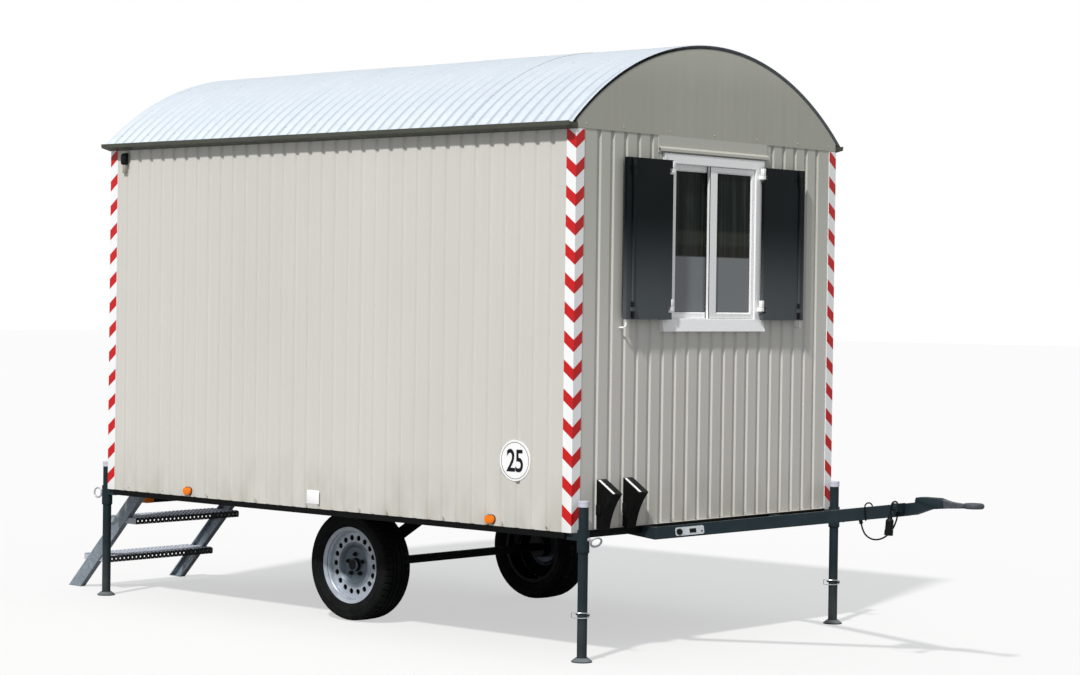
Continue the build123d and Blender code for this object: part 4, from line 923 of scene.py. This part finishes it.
def make_sill():
    """Sloping sill with turned-up ends, in front of the frame's foot."""
    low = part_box("window_sill")[0].z
    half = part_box("window_frame")[1].y + 0.004
    shape = Shape()
    shape.prism([(FRONT + out, -half, low + up) for out, up in SILL], (0, 2 * half, 0))
    for side in (-1, 1):
        end = [(FRONT + out + (0.001 if out else 0), side * half, low + up) for out, up in SILL]
        shape.prism(end, (0, side * 0.002, 0))
    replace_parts(shape.piece("sloping_sill", "window", slot="window_plastic"), "window_sill")


def make_flashing():
    """Flat panel over the window, with a folded drip rail at its foot."""
    low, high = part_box("window_flashing")
    shape = Shape()
    shape.box((FRONT, low.y, WINDOW_HIGH + 0.001), (FRONT + 0.003, high.y, high.z))
    rail = [(FRONT + out, low.y, WINDOW_HIGH + up) for out, up in DRIP_RAIL]
    shape.prism(rail, (0, high.y - low.y, 0))
    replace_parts(shape.piece("folded_flashing", "wall", slot="wall_paint"), "window_flashing")


SHUTTERS = ((1, "shutter_left", "left_shutter"), (-1, "shutter_right", "right_shutter"))


def outer_edge(node, side):
    """Y of a leaf's outer edge."""
    low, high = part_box(node)
    return high.y if side > 0 else low.y


def shutter_details():
    """Rod sleeves and white knuckle covers that move with each leaf."""
    face = FRONT + 0.043
    hinge_x = FRONT + 0.035
    for side, node, body in SHUTTERS:
        low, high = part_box(node)
        rod_y = outer_edge(node, side) - side * 0.045
        sleeves = Shape()
        for z0, z1 in ((low.z + 0.006, low.z + 0.088), (high.z - 0.088, high.z - 0.006)):
            sleeves.box((face, rod_y - 0.011, z0), (face + 0.009, rod_y + 0.011, z1), 0.003)
        sleeves.piece(f"rod_sleeves_{body}", "black", body, "shutter_paint")
        y = side * 0.375
        covers = Shape()
        for z in (low.z + 0.0655, high.z - 0.0395):
            covers.box((hinge_x - 0.010, y - 0.010, z), (hinge_x + 0.0105, y + 0.010, z + 0.0353), 0.002)
        covers.piece(f"knuckle_covers_{body}", "window", body, "window_plastic")


# Hook under a leaf: out from the wall, along it from the hook's tip, and down from the leaf
HOOK_ROUTE = (
    (0.001, 0.010, 0.040), (0.024, 0.010, 0.040), (0.030, 0.004, 0.036),
    (0.031, 0.0, 0.024), (0.031, 0.0, 0.012),
)


def shutter_hooks():
    """Slim white hook under the outer corner of each leaf."""
    shape = Shape()
    for side, node, _ in SHUTTERS:
        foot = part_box(node)[0].z
        y = outer_edge(node, side) - side * 0.014
        route = [(FRONT + out, y + side * aside, foot - down) for out, aside, down in HOOK_ROUTE]
        shape.wire(route, 0.0048, 10)
    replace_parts(shape.piece("shutter_hooks", "disc", slot="holder_plastic"), "shutter_holders")


LEGS = (
    ("leg_front_left", "front_left_leg"),
    ("leg_front_right", "front_right_leg"),
    ("leg_rear_left", "rear_left_leg"),
    ("leg_rear_right", "rear_right_leg"),
)
SLEEVE_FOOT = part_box("leg_brackets")[0].z

# Turned outlines of a leg: radius, and height from its top, from the floor or from the sleeve's foot
LEG_CAP = (
    (0.0253, -0.0290), (0.0266, -0.0280), (0.0266, -0.0150), (0.0256, -0.0140), (0.0256, -0.0120),
    (0.0268, -0.0110), (0.0268, -0.0010), (0.0255, 0.0005), (0, 0.0012), (0, -0.0290),
)
LEG_FOOT = ((0.0303, 0.0202), (0.0502, 0.0052), (0.0505, 0.0057), (0.0303, 0.0208))
SLEEVE_LIP = ((0.0250, -0.006), (0.0275, -0.006), (0.0302, 0.0), (0.0302, 0.003), (0.0250, -0.0002))

# Wire clip round a front leg: to the photograph's right, toward its viewer, up
IMAGE_RIGHT = Vector((0.747, 0.665, 0))
TOWARD_VIEW = Vector((0.665, -0.747, 0))
CLIP_HEIGHT = 0.224
CLIP_HALF = (
    (-0.052, 0.004, 0.012), (-0.027, 0.022, 0.012), (0.000, 0.0275, 0.0125), (0.020, 0.0205, 0.011),
    (0.034, 0.006, 0.006),
)
CLIP_ROUTE = CLIP_HALF + tuple((right, near, -up) for right, near, up in reversed(CLIP_HALF))


def leg_axis(node, z):
    """A place on a leg's centre line."""
    low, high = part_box(node)
    return Vector(((low.x + high.x) / 2, (low.y + high.y) / 2, z))


def leg_details():
    """Plastic cap, lighter foot ring of painted sheen and sleeve lip of each leg, and the clip on the front
    ones.
    """
    up = Vector((0, 0, 1))
    lips = Shape()
    for node, body in LEGS:
        top = leg_axis(node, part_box(node)[1].z)
        turned(LEG_CAP, top, up, 40, False, f"{node}_cap", "cap", body, "holder_plastic")
        floor = leg_axis(node, 0)
        turned(LEG_FOOT, floor, up, 48, True, f"{node}_worn_foot", "sheen", body, "frame_paint")
        lips.lathe(SLEEVE_LIP, leg_axis(node, SLEEVE_FOOT), up, 40, True)
        if "front" in node:
            centre = leg_axis(node, CLIP_HEIGHT)
            route = [centre + IMAGE_RIGHT * x + TOWARD_VIEW * y + up * z for x, y, z in CLIP_ROUTE]
            clip = Shape()
            clip.wire(route, 0.0026, 8, True)
            clip.piece(f"{node}_clip", "zinc", body, "zinc")
    lips.piece("sleeve_lips", "frame", slot="frame_paint")


# Pull ring of a right-hand leg: its middle from the pin, and the ways of its two half axes
FRONT_RING = (Vector((0.080, 0.0, -0.009)), Vector((0.65, 0.58, 0.49)), Vector((0.163, -0.739, 0.65)))
REAR_RING = (Vector((-0.089, 0.004, -0.003)), Vector((0, 0, 1)), Vector((0.985, 0.17, 0)))


def lock_pins():
    """Spring pin and pull ring on each sleeve."""
    shape = Shape()
    for node, _ in LEGS:
        centre = leg_axis(node, SLEEVE_FOOT + 0.060)
        way = Vector((1 if "front" in node else -1, 0, 0))
        shape.rod(centre + way * 0.0305, centre + way * 0.044, 0.0085, 20)
        shape.rod(centre + way * 0.044, centre + way * 0.058, 0.0048, 16, 0.001)
        flip = Matrix.Diagonal((1, -1, 1)) if "left" in node else Matrix.Identity(3)
        offset, first, second = [flip @ place for place in (FRONT_RING if way.x > 0 else REAR_RING)]
        shape.hoop(centre + offset, first * 0.0285, second * 0.0285, 0.0036, sides=10)
        shape.hoop(centre + offset + Vector((0, 0, 0.001)), first * 0.0245, second * 0.0235, 0.0026)
    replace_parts(shape.piece("lock_pins_and_rings", "zinc", slot="zinc"), "leg_lock_pins")


def front_shadow_lip():
    """Dark angle along the foot of the front wall, a painted shadow line, with a pale strip in the wall's
    colour along its upper edge.
    """
    low = BASE + 0.0014
    dark = Shape()
    bright = Shape()
    for y0, y1 in ((-1.002, -0.890), (-0.812, -0.691), (-0.613, 1.002)):
        dark.box((FRONT, y0, low), (FRONT + 0.013, y1, low + 0.0065))
        bright.box((FRONT, y0, low + 0.0065), (FRONT + 0.0125, y1, low + 0.0080))
    dark.piece("front_shadow_lip", "under", slot="frame_paint")
    bright.piece("front_lip_edge", "wall", slot="wall_paint")


# Half of the tyre's section, from its bead to the middle of the tread: radius, and place across.
# The shoulder and the grooves are measured in from the tyre's own radius.
TYRE_SIDE = (
    (0.1909, 0.0705), (0.2040, 0.0725), (0.2050, 0.0790), (0.2085, 0.0850), (0.2150, 0.0885),
    (0.2185, 0.0880), (0.2220, 0.0900), (0.2320, 0.0935), (0.2400, 0.0958), (0.2420, 0.0968),
    (0.2440, 0.0962), (0.2540, 0.0974), (0.2640, 0.0974), (0.2690, 0.0968), (0.2702, 0.0973),
    (0.2714, 0.0961), (0.2775, 0.0946), (0.2830, 0.0916), (0.2872, 0.0872), (0.2905, 0.0815),
    (0.2936, 0.0735), (0.2952, 0.0640),
)
TYRE_TREAD = (
    (0.0015, 0.0540), (0.0013, 0.0480), (0.0085, 0.0465), (0.0085, 0.0400), (0.0010, 0.0385),
    (0.0004, 0.0225), (0.0085, 0.0210), (0.0085, 0.0145), (0.0002, 0.0130), (0.0, 0.0040),
)
TYRE_STEPS = 288


def sipe(radius, across, step):
    """Depth of the cut at one place of the tread."""
    step += 2 if across > 0 else 0
    if radius > TYRE_RADIUS - 0.004 and 0.0095 < abs(across) < 0.041 and step % 8 == 0:
        return 0.004
    if radius > 0.284 and 0.046 < abs(across) < 0.088 and step % 6 == 0:
        return 0.006
    return 0.0


def make_tyre(side, node, body):
    """Tyre with four tread grooves, cross sipes and ringed sidewalls."""
    half = list(TYRE_SIDE) + [(TYRE_RADIUS - depth, across) for depth, across in TYRE_TREAD]
    outline = half + [(radius, -across) for radius, across in reversed(half)]
    shape = Shape()
    rings = []
    for radius, across in outline:
        ring = []
        for step in range(TYRE_STEPS):
            angle = 2 * math.pi * step / TYRE_STEPS
            reach = radius - sipe(radius, across, step)
            place = Vector((reach * math.sin(angle), across, reach * math.cos(angle)))
            ring.append(shape.mesh.verts.new(place + Vector((WHEEL.x, side * WHEEL.y, WHEEL.z))))
        rings.append(ring)
    shape.skin(rings, closed=True)
    tyre = shape.piece(f"{node}_tread", "tyre", body, "tyre", 40)
    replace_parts(tyre, node)


# Turned outlines of a wheel: radius, and distance out from its middle or from the piece's start
BOLT_SEAT = ((0, 0), (0.0125, 0), (0.0125, 0.004), (0.0085, 0.006), (0, 0.006))
BOLT_HEAD = ((0, 0), (0.0085, 0), (0.0085, 0.012), (0.0065, 0.015), (0, 0.0155))
RIM_STEP = (
    (0.1838, 0.066), (0.1838, 0.060), (0.1790, 0.056), (0.1755, 0.0405),
    (0.1735, 0.0405), (0.1768, 0.0575), (0.1805, 0.062),
)
VALVE = ((0, 0), (0.007, 0), (0.0045, 0.010), (0.004, 0.024), (0.005, 0.026), (0.005, 0.036), (0, 0.037))
HUB_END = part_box("hub_left")[1].y - WHEEL.y
HUB_CAP = (
    (0, 0.0320), (0.0360, 0.0320), (0.0355, 0.0400), (0.0325, 0.0500), (0.0290, 0.0540),
    (0.0275, HUB_END - 0.002), (0.0255, HUB_END + 0.001), (0, HUB_END + 0.002),
)
# Dark ring behind the round holes: painted shade that hides the floor showing through them.
PAINTED_SHADE_RING = ((0.1120, 0.0220), (0.1810, 0.0220), (0.1810, 0.0250), (0.1120, 0.0250))

# Bolts and valve: angle in degrees, reach from the wheel's axis, and distance out from its middle
BOLT_COUNT = 5
BOLT_FIRST = 20
BOLT_REACH = 0.056
BOLT_OUT = 0.0325
VALVE_ANGLE = 212
VALVE_REACH = 0.170
VALVE_OUT = 0.0405


def wheel_details(side, body):
    """Lug bolts, step of the rim, valve, hub cap, and a dark ring of painted shade behind the round holes."""
    middle = Vector((WHEEL.x, side * WHEEL.y, WHEEL.z))
    out = Vector((0, side, 0))
    bolts = Shape()
    for index in range(BOLT_COUNT):
        angle = math.radians(360 / BOLT_COUNT * index + BOLT_FIRST)
        spoke = Vector((math.cos(angle), 0, math.sin(angle)))
        place = middle + spoke * BOLT_REACH + out * BOLT_OUT
        bolts.lathe(BOLT_SEAT, place, out, 20)
        bolts.lathe(BOLT_HEAD, place + out * 0.006, out, 6)
    bolts.piece(f"lug_bolts_{body}", "black", body, "hub_paint")
    turned(RIM_STEP, middle, out, 96, True, f"rim_step_{body}", "rim", body, "rim_paint")
    angle = math.radians(VALVE_ANGLE)
    spoke = Vector((-math.cos(angle), 0, math.sin(angle)))
    start = middle + spoke * VALVE_REACH + out * VALVE_OUT
    turned(VALVE, start, out, 16, False, f"valve_{body}", "black", body, "black_rubber")
    turned(HUB_CAP, middle, out, 48, False, f"hub_cap_{body}", "black", body, "hub_paint")
    turned(PAINTED_SHADE_RING, middle, out, 72, True, f"painted_shade_behind_holes_{body}", "inside", body, "rim_paint")


def holed_cell(shape, centre, u, v, down, hole, sides):
    """One cell of sheet with a round hole, its sides left open to the next cell."""
    rings = []
    for middle in (centre, centre + down):
        edge = []
        for index in range(sides):
            c = math.cos(2 * math.pi * index / sides)
            s = math.sin(2 * math.pi * index / sides)
            grow = 1 / max(abs(c), abs(s))
            edge.append(shape.mesh.verts.new(middle + (u * c + v * s) * grow / 2))
        rings.append((edge, shape.ring(middle, u.normalized(), v.normalized(), hole, sides)))
    (near_edge, near_hole), (far_edge, far_hole) = rings
    shape.skin([near_edge, near_hole, far_hole, far_edge])


def perforated(shape, start, along, across, columns, rows, hole, sides):
    """Sheet of cells with a round hole in each, closed on both faces."""
    u = Vector(along) / columns
    v = Vector(across) / rows
    down = u.cross(v).normalized() * TREAD_SHEET
    for column in range(columns):
        for row in range(rows):
            centre = Vector(start) + u * (column + 0.5) + v * (row + 0.5)
            holed_cell(shape, centre, u, v, down, hole, sides)


TREAD_COLUMNS = 26
TREAD_ROWS = 8
TREAD_DEPTH = 0.240
TREAD_EDGE = 0.037
TREAD_SHEET = 0.0025
RAISED_RIM = ((0.0096, 0), (0.0088, 0.0030), (0.0076, 0.0030), (0.0075, 0))


def make_tread(shape, fronts, x0, top, y0, y1):
    """One folded tread: its top with raised holes, its edges and its pierced front."""
    sheet = TREAD_SHEET
    low = top - TREAD_EDGE
    x1 = x0 + TREAD_DEPTH
    across = (0, y1 - y0, 0)
    perforated(shape, (x0, y0, top), across, (TREAD_DEPTH, 0, 0), TREAD_COLUMNS, TREAD_ROWS, 0.0075, 10)
    perforated(fronts, (x1, y0, top), across, (0, 0, -TREAD_EDGE), TREAD_COLUMNS, 1, 0.0055, 12)
    shape.box((x0, y0, low), (x0 + sheet, y1, top - 0.0001))
    for y in (y0, y1 - sheet):
        shape.box((x0 + sheet, y, low), (x1 - sheet, y + sheet, top - sheet))
    fronts.box((x1 - 0.014, y0 + sheet, low), (x1 - sheet, y1 - sheet, low + sheet))
    for column in range(TREAD_COLUMNS):
        for row in range(TREAD_ROWS):
            x = x0 + (row + 0.5) * TREAD_DEPTH / TREAD_ROWS
            y = y0 + (column + 0.5) * (y1 - y0) / TREAD_COLUMNS
            shape.lathe(RAISED_RIM, (x, y, top), (0, 0, 1), 10)


def make_treads():
    """The stair's two treads."""
    low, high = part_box("stair_treads")
    shape = Shape()
    fronts = Shape()
    make_tread(shape, fronts, low.x, low.z + TREAD_EDGE, low.y, high.y)
    make_tread(shape, fronts, high.x - TREAD_DEPTH, high.z, low.y, high.y)
    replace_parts(shape.piece("perforated_treads", "tread", slot="galvanised"), "stair_treads")
    # The tread fronts take the darker shaded zinc: painted shade.
    fronts.piece("tread_fronts", "edge", slot="galvanised")


def stair_channels():
    """Flanges that make each stringer a channel, and its foot plate."""
    low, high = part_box("stair_stringers")
    half = 0.1095 / 2
    flange = 0.0084
    reach = 0.027
    foot = low.x + half
    top = high.x - half
    shape = Shape()
    for y in (low.y + 0.008, high.y - 0.008 - reach):
        for side in (-1, 1):
            outer = side * half
            inner = side * (half - flange)
            outline = [(foot + outer, 0), (foot + inner, 0), (top + inner, high.z), (top + outer, high.z)]
            shape.prism([(x, y, z) for x, z in outline], (0, reach, 0))
        shape.box((foot - half + 0.009, y, 0), (foot + half - 0.009, y + reach, 0.004))
    shape.piece("stair_channels", "galvanised", slot="galvanised")


def digits_mesh(words, height, narrow):
    """Flat text as a mesh about its own middle."""
    text = bpy.data.curves.new("speed_digits", "FONT")
    text.body = words
    text.size = 0.150
    text.offset = 0.0022
    text.extrude = 0.0003
    text.align_x = "CENTER"
    text.align_y = "CENTER"
    text.space_character = 0.92
    holder = placed("speed_text", text)
    bpy.context.view_layer.update()
    data = bpy.data.meshes.new_from_object(holder.evaluated_get(bpy.context.evaluated_depsgraph_get()))
    bpy.data.objects.remove(holder)
    xs = [vertex.co.x for vertex in data.vertices]
    ys = [vertex.co.y for vertex in data.vertices]
    middle = Vector(((min(xs) + max(xs)) / 2, (min(ys) + max(ys)) / 2, 0))
    scale = Matrix.Diagonal((narrow, height / (max(ys) - min(ys)), 1, 1))
    data.transform(scale @ Matrix.Translation(-middle))
    return data


def speed_disc():
    """Digits and the thin ring on the round speed plate."""
    low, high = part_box("speed_disc")
    centre = (low + high) / 2
    centre.y = low.y
    ring = ((0.0905, 0), (0.0905, 0.0005), (0.0880, 0.0005), (0.0880, 0))
    turned(ring, centre, (0, -1, 0), 64, True, "speed_ring", "ink", "cabin", "disc_plastic")
    data = digits_mesh("25", 0.112, 0.80)
    upright = Matrix.Rotation(math.radians(90), 4, "X")
    data.transform(Matrix.Translation(centre - Vector((0, 0.0004, 0))) @ upright)
    data.materials.clear()
    data.materials.append(FINISHES["ink"].material)
    digits = placed("speed_digits", data)
    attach(digits, "cabin")


# Side lamps: their places, and the half length of their straight part
LAMP_UP = 0.031
LAMP_PLACES = (REAR + 0.701, FRONT - 0.522)
LAMP_STRAIGHT = 0.010


def lamp_outline(x, y, z, radius):
    """Long round outline of a side lamp."""
    outline = []
    for step in range(32):
        angle = 2 * math.pi * step / 32
        shift = math.copysign(LAMP_STRAIGHT, math.cos(angle))
        outline.append((x + shift + radius * math.cos(angle), y, z + radius * math.sin(angle)))
    return outline


def side_lamps():
    """Bases and ribs of the side lamps."""
    bases = Shape()
    domes = Shape()
    z = BASE + LAMP_UP
    for side in (-1, 1):
        for x in LAMP_PLACES:
            bases.prism(lamp_outline(x, side * SIDE, z, 0.023), (0, side * 0.004, 0))
            domes.prism(lamp_outline(x, side * (SIDE + 0.016), z, 0.014), (0, side * 0.002, 0))
            y = side * (SIDE + 0.0165)
            for rib in (x - 0.012, x, x + 0.012):
                domes.box((rib - 0.001, y - 0.0025, z - 0.013), (rib + 0.001, y + 0.0025, z + 0.013), 0.0006)
    bases.piece("side_lamp_bases", "black", slot="black_plastic")
    domes.piece("side_lamp_ribs", "orange", slot="lamp_plastic")


def tail_lamps():
    """Orange and red lenses of the tail lamps."""
    low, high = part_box("tail_lamps")
    x = low.x - 0.002
    foot = low.z
    top = low.z + 0.050
    orange = Shape()
    red = Shape()
    for side in (-1, 1):
        outer, inner, end = [side * (high.y - run) for run in (0, 0.052, 0.150)]
        y0, y1 = sorted((outer, inner))
        orange.box((x, y0 - 0.0015, foot - 0.0015), (x + 0.056, y1 + 0.0015, top + 0.0015), 0.003)
        y0, y1 = sorted((inner, end))
        red.box((x, y0 + 0.001, foot + 0.003), (x + 0.006, y1 - 0.001, top - 0.003), 0.002)
    orange.piece("tail_lamp_orange", "orange", slot="lamp_plastic")
    red.piece("tail_lamp_red", "red_lens", slot="lamp_plastic")


def slab(shape, corner, along, across, lift):
    """A flat block from a corner and its three sides."""
    shape.prism([corner, corner + along, corner + along + across, corner + across], lift)


# Chocks on the front wall: from the right wall to their middles, and their slanted top face
CHOCK_PLACES = (0.219, 0.418)
CHOCK_WIDTH = 0.070
CHOCK_TOP = 0.246
CHOCK_FACE = Vector((0.104, 0, -0.068))
CHOCK_RIBS = (0.14, 0.28, 0.42, 0.56, 0.70, 0.84)
CLAMP_OUT = 0.006


def chock_details():
    """Top faces lighter with painted sheen, a white strip on each that is a painted highlight, and clamps of
    the two stored chocks.
    """
    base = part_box("wheel_chocks")[0].z
    way = CHOCK_FACE.normalized()
    lift = Vector((-way.z, 0, way.x))
    tops = Shape()
    stripes = Shape()
    clamps = Shape()
    for from_side in CHOCK_PLACES:
        y = from_side - SIDE - CHOCK_WIDTH / 2
        start = Vector((FRONT, y, base + CHOCK_TOP)) + way * 0.006
        face = CHOCK_FACE - way * 0.012
        slab(tops, start, face, Vector((0, CHOCK_WIDTH, 0)), lift * 0.0015)
        # Painted highlight: a white strip along each top face.
        slab(stripes, start + Vector((0, 0.004, 0)), face, Vector((0, 0.017, 0)), lift * 0.0022)
        for share in CHOCK_RIBS:
            corner = start + face * share + Vector((0, 0.024, 0)) + lift * 0.0015
            slab(tops, corner, way * 0.004, Vector((0, 0.044, 0)), lift * 0.0018)
        end = y + CHOCK_WIDTH
        for y0, y1 in ((y - CLAMP_OUT, y - 0.0003), (end + 0.0003, end + CLAMP_OUT)):
            clamps.box((FRONT, y0, base + 0.075), (FRONT + 0.030, y1, base + 0.125), 0.002)
    tops.piece("chock_tops", "rubber_top", slot="black_rubber")
    stripes.piece("chock_highlights", "disc", slot="disc_plastic")
    clamps.piece("chock_clamps", "black", slot="black_plastic")


# Right drawbar arm: its root beside the front wall, and the ways along it, out from it and up
ARM_ROOT = Vector((FRONT + 0.085, -0.520, BASE - 0.029))
ARM_RUN = 1.125
ARM_YAW = math.atan2(0.520, ARM_RUN)
ARM_TILT = math.atan(0.165 / ARM_RUN * math.cos(ARM_YAW))
ARM_LEVEL = Vector((math.cos(ARM_YAW), math.sin(ARM_YAW), 0))
ARM_AHEAD = ARM_LEVEL * math.cos(ARM_TILT) + Vector((0, 0, math.sin(ARM_TILT)))
ARM_OUT = Vector((math.sin(ARM_YAW), -math.cos(ARM_YAW), 0))
ARM_UP = ARM_OUT.cross(ARM_AHEAD)

# Socket on the arm: along it from the socket's start, and up from its middle line.
# The lead's strap: along the arm from its root, out from it and up.
SOCKET_START = 0.075
SOCKET_FACE = (
    (0.029, -0.0205), (0.161, -0.0205), (0.167, -0.0145), (0.167, 0.0145),
    (0.161, 0.0205), (0.029, 0.0205), (0.023, 0.0145), (0.023, -0.0145),
)
SOCKET_LID = ((0.095, -0.010), (0.128, -0.010), (0.128, 0.010), (0.095, 0.010))
SOCKET_SCREWS = ((0.029, 0.014), (0.062, -0.014), (0.146, 0.012), (0.160, 0.012))
SOCKET_RIM = ((0, 0), (0.0150, 0), (0.0150, 0.006), (0.0125, 0.007), (0, 0.0045))
SOCKET_KEY = ((0, 0), (0.0042, 0), (0.0042, 0.003), (0, 0.003))
STRAP_ROUTE = (
    (1.036, 0.0250, -0.034), (1.036, 0.0250, 0.000), (1.037, 0.0245, 0.028), (1.041, 0.020, 0.042),
    (1.049, 0.010, 0.049), (1.058, -0.004, 0.049), (1.066, -0.014, 0.041), (1.069, -0.016, 0.031),
)


def on_arm(along, out, up):
    """A place on the right drawbar arm."""
    return ARM_ROOT + ARM_AHEAD * along + ARM_OUT * out + ARM_UP * up


def on_socket(outline, out):
    """Places on the socket's face."""
    return [on_arm(SOCKET_START + along, out, up) for along, up in outline]


def socket_details():
    """Socket face, lid, key and screws, and the strap that holds the lead."""
    plate = Shape()
    plate.prism(on_socket(SOCKET_FACE, 0.0195), ARM_OUT * 0.006)
    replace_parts(plate.piece("socket_face", "alloy", slot="zinc"), "socket_plate")
    face = 0.024
    dark = Shape()
    dark.lathe(SOCKET_RIM, on_arm(SOCKET_START + 0.0446, face, 0), ARM_OUT, 28)
    dark.prism(on_socket(SOCKET_LID, face), ARM_OUT * 0.004)
    dark.lathe(SOCKET_KEY, on_arm(SOCKET_START + 0.156, face, -0.006), ARM_OUT, 16)
    dark.piece("socket_dark_parts", "black", slot="black_plastic")
    screws = Shape()
    for place in on_socket(SOCKET_SCREWS, 0.0255):
        screws.screw(place, ARM_OUT, 0.0026, 0.0016)
    screws.piece("socket_screws", "zinc", slot="zinc")
    strap = Shape()
    strap.wire([on_arm(*place) for place in STRAP_ROUTE], 0.0036, 10)
    strap.piece("lead_strap", "rubber", slot="black_rubber")


# Side outlines of the coupling: ahead of the front wall and above the cabin's base
SADDLE = (
    (1.252, 0.178), (1.258, 0.1968), (1.290, 0.1985), (1.372, 0.1985),
    (1.402, 0.1905), (1.406, 0.1520), (1.350, 0.1460),
)
NECK = (
    (1.360, 0.1940), (1.400, 0.1920), (1.435, 0.1845), (1.490, 0.1800), (1.525, 0.1815),
    (1.525, 0.1605), (1.490, 0.1580), (1.435, 0.1545), (1.400, 0.1510), (1.360, 0.1510),
)
EYE_PLACE = (FRONT + 1.559, 0, BASE + 0.173)
EYE_HALF = ((0.024, 0.009), (0.033, 0.0130), (0.043, 0.0122), (0.0485, 0.0070))


def side_block(outline, half_width, bevel):
    """A rounded block across the tow beam's middle."""
    shape = Shape()
    near = [(FRONT + x, -half_width, BASE + z) for x, z in outline]
    shape.round_off(shape.prism(near, (0, 2 * half_width, 0)), bevel)
    return shape


def coupling():
    """Saddle over the tow beam, and the forged neck and ring."""
    side_block(SADDLE, 0.0312, 0.004).piece("coupling_saddle", "frame", slot="frame_paint")
    eye = side_block(NECK, 0.0215, 0.006)
    ring = [(0.020, 0.0), *EYE_HALF, (0.0499, 0.0)] + [(radius, -up) for radius, up in reversed(EYE_HALF)]
    eye.lathe(ring, EYE_PLACE, (0, 0, 1), 48, True)
    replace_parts(eye.piece("coupling_eye", "forged", slot="frame_paint"), "tow_eye")


def door_details():
    """Hinges and seal of the rear door."""
    low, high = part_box("rear_door")
    face = low.x
    y = high.y + 0.003
    hinges = Shape()
    for z in (low.z + 0.22, (low.z + high.z) / 2, high.z - 0.22):
        hinges.rod((face - 0.006, y, z - 0.045), (face - 0.006, y, z + 0.045), 0.007, 16)
        hinges.box((face - 0.003, y - 0.034, z - 0.040), (face, y - 0.004, z + 0.040), 0.001)
    hinges.piece("door_hinges", "zinc", slot="zinc")
    outer, inner = [
        (low.y + edge, low.z + edge, high.y - edge, high.z - edge) for edge in (0.001, 0.007)
    ]
    seal = Shape()
    seal.surround(face - 0.0015, face + 0.0005, outer, inner)
    seal.piece("door_seal", "gasket", slot="black_rubber")


def side_label():
    """Small blank white plate low on the right wall."""
    shape = Shape()
    x = MIDDLE - 0.046
    z = BASE + 0.060
    shape.box((x - 0.046, -SIDE - 0.0012, z - 0.036), (x + 0.046, -SIDE, z + 0.036), 0.0005)
    shape.piece("blank_plate", "disc", slot="disc_plastic")


# Hood of the power inlet: out from the wall, and up from its foot
HOOD_HEIGHT = 0.066
HOOD = (
    (0.0, 0.0), (0.019, 0.0), (0.025, 0.012), (0.026, HOOD_HEIGHT - 0.018),
    (0.020, HOOD_HEIGHT - 0.006), (0.008, HOOD_HEIGHT), (0.0, HOOD_HEIGHT),
)


def inlet_details():
    """Rounded black hood of the power inlet, and a grey block under it that is the hood's painted shadow on
    the wall.
    """
    x0 = MIDDLE - 1.641
    x1 = MIDDLE - 1.601
    low = EAVES - 0.022 - HOOD_HEIGHT
    shape = Shape()
    near = [(x0, -SIDE - out, low + up) for out, up in HOOD]
    shape.round_off(shape.prism(near, (x1 - x0, 0, 0)), 0.003)
    hood = shape.piece("inlet_hood", "black", slot="black_plastic")
    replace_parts(hood, "power_inlet")
    hood_shadow = Shape()
    # Painted shadow: a grey block on the wall under the hood.
    hood_shadow.box((x0 + 0.008, -SIDE - 0.018, low - 0.048), (x1 - 0.006, -SIDE, low - 0.0003), 0.004)
    hood_shadow.piece("inlet_hood_shadow", "hood_shadow", slot="gable_paint")


make_camera()
make_cable()
make_light()
make_floor()
finish_nodes()
make_roof()
roof_screws()
wall_screws()
hazard_stripes()
window_details()
make_sill()
make_flashing()
shutter_details()
shutter_hooks()
leg_details()
lock_pins()
front_shadow_lip()
for wheel_side, wheel_node, wheel_body in ((1, "tyre_left", "wheel_left"), (-1, "tyre_right", "wheel_right")):
    make_tyre(wheel_side, wheel_node, wheel_body)
    wheel_details(wheel_side, wheel_body)
make_treads()
stair_channels()
speed_disc()
side_lamps()
tail_lamps()
chock_details()
socket_details()
coupling()
door_details()
side_label()
inlet_details()
make_gutters()

bpy.context.scene.view_settings.view_transform = "Standard"
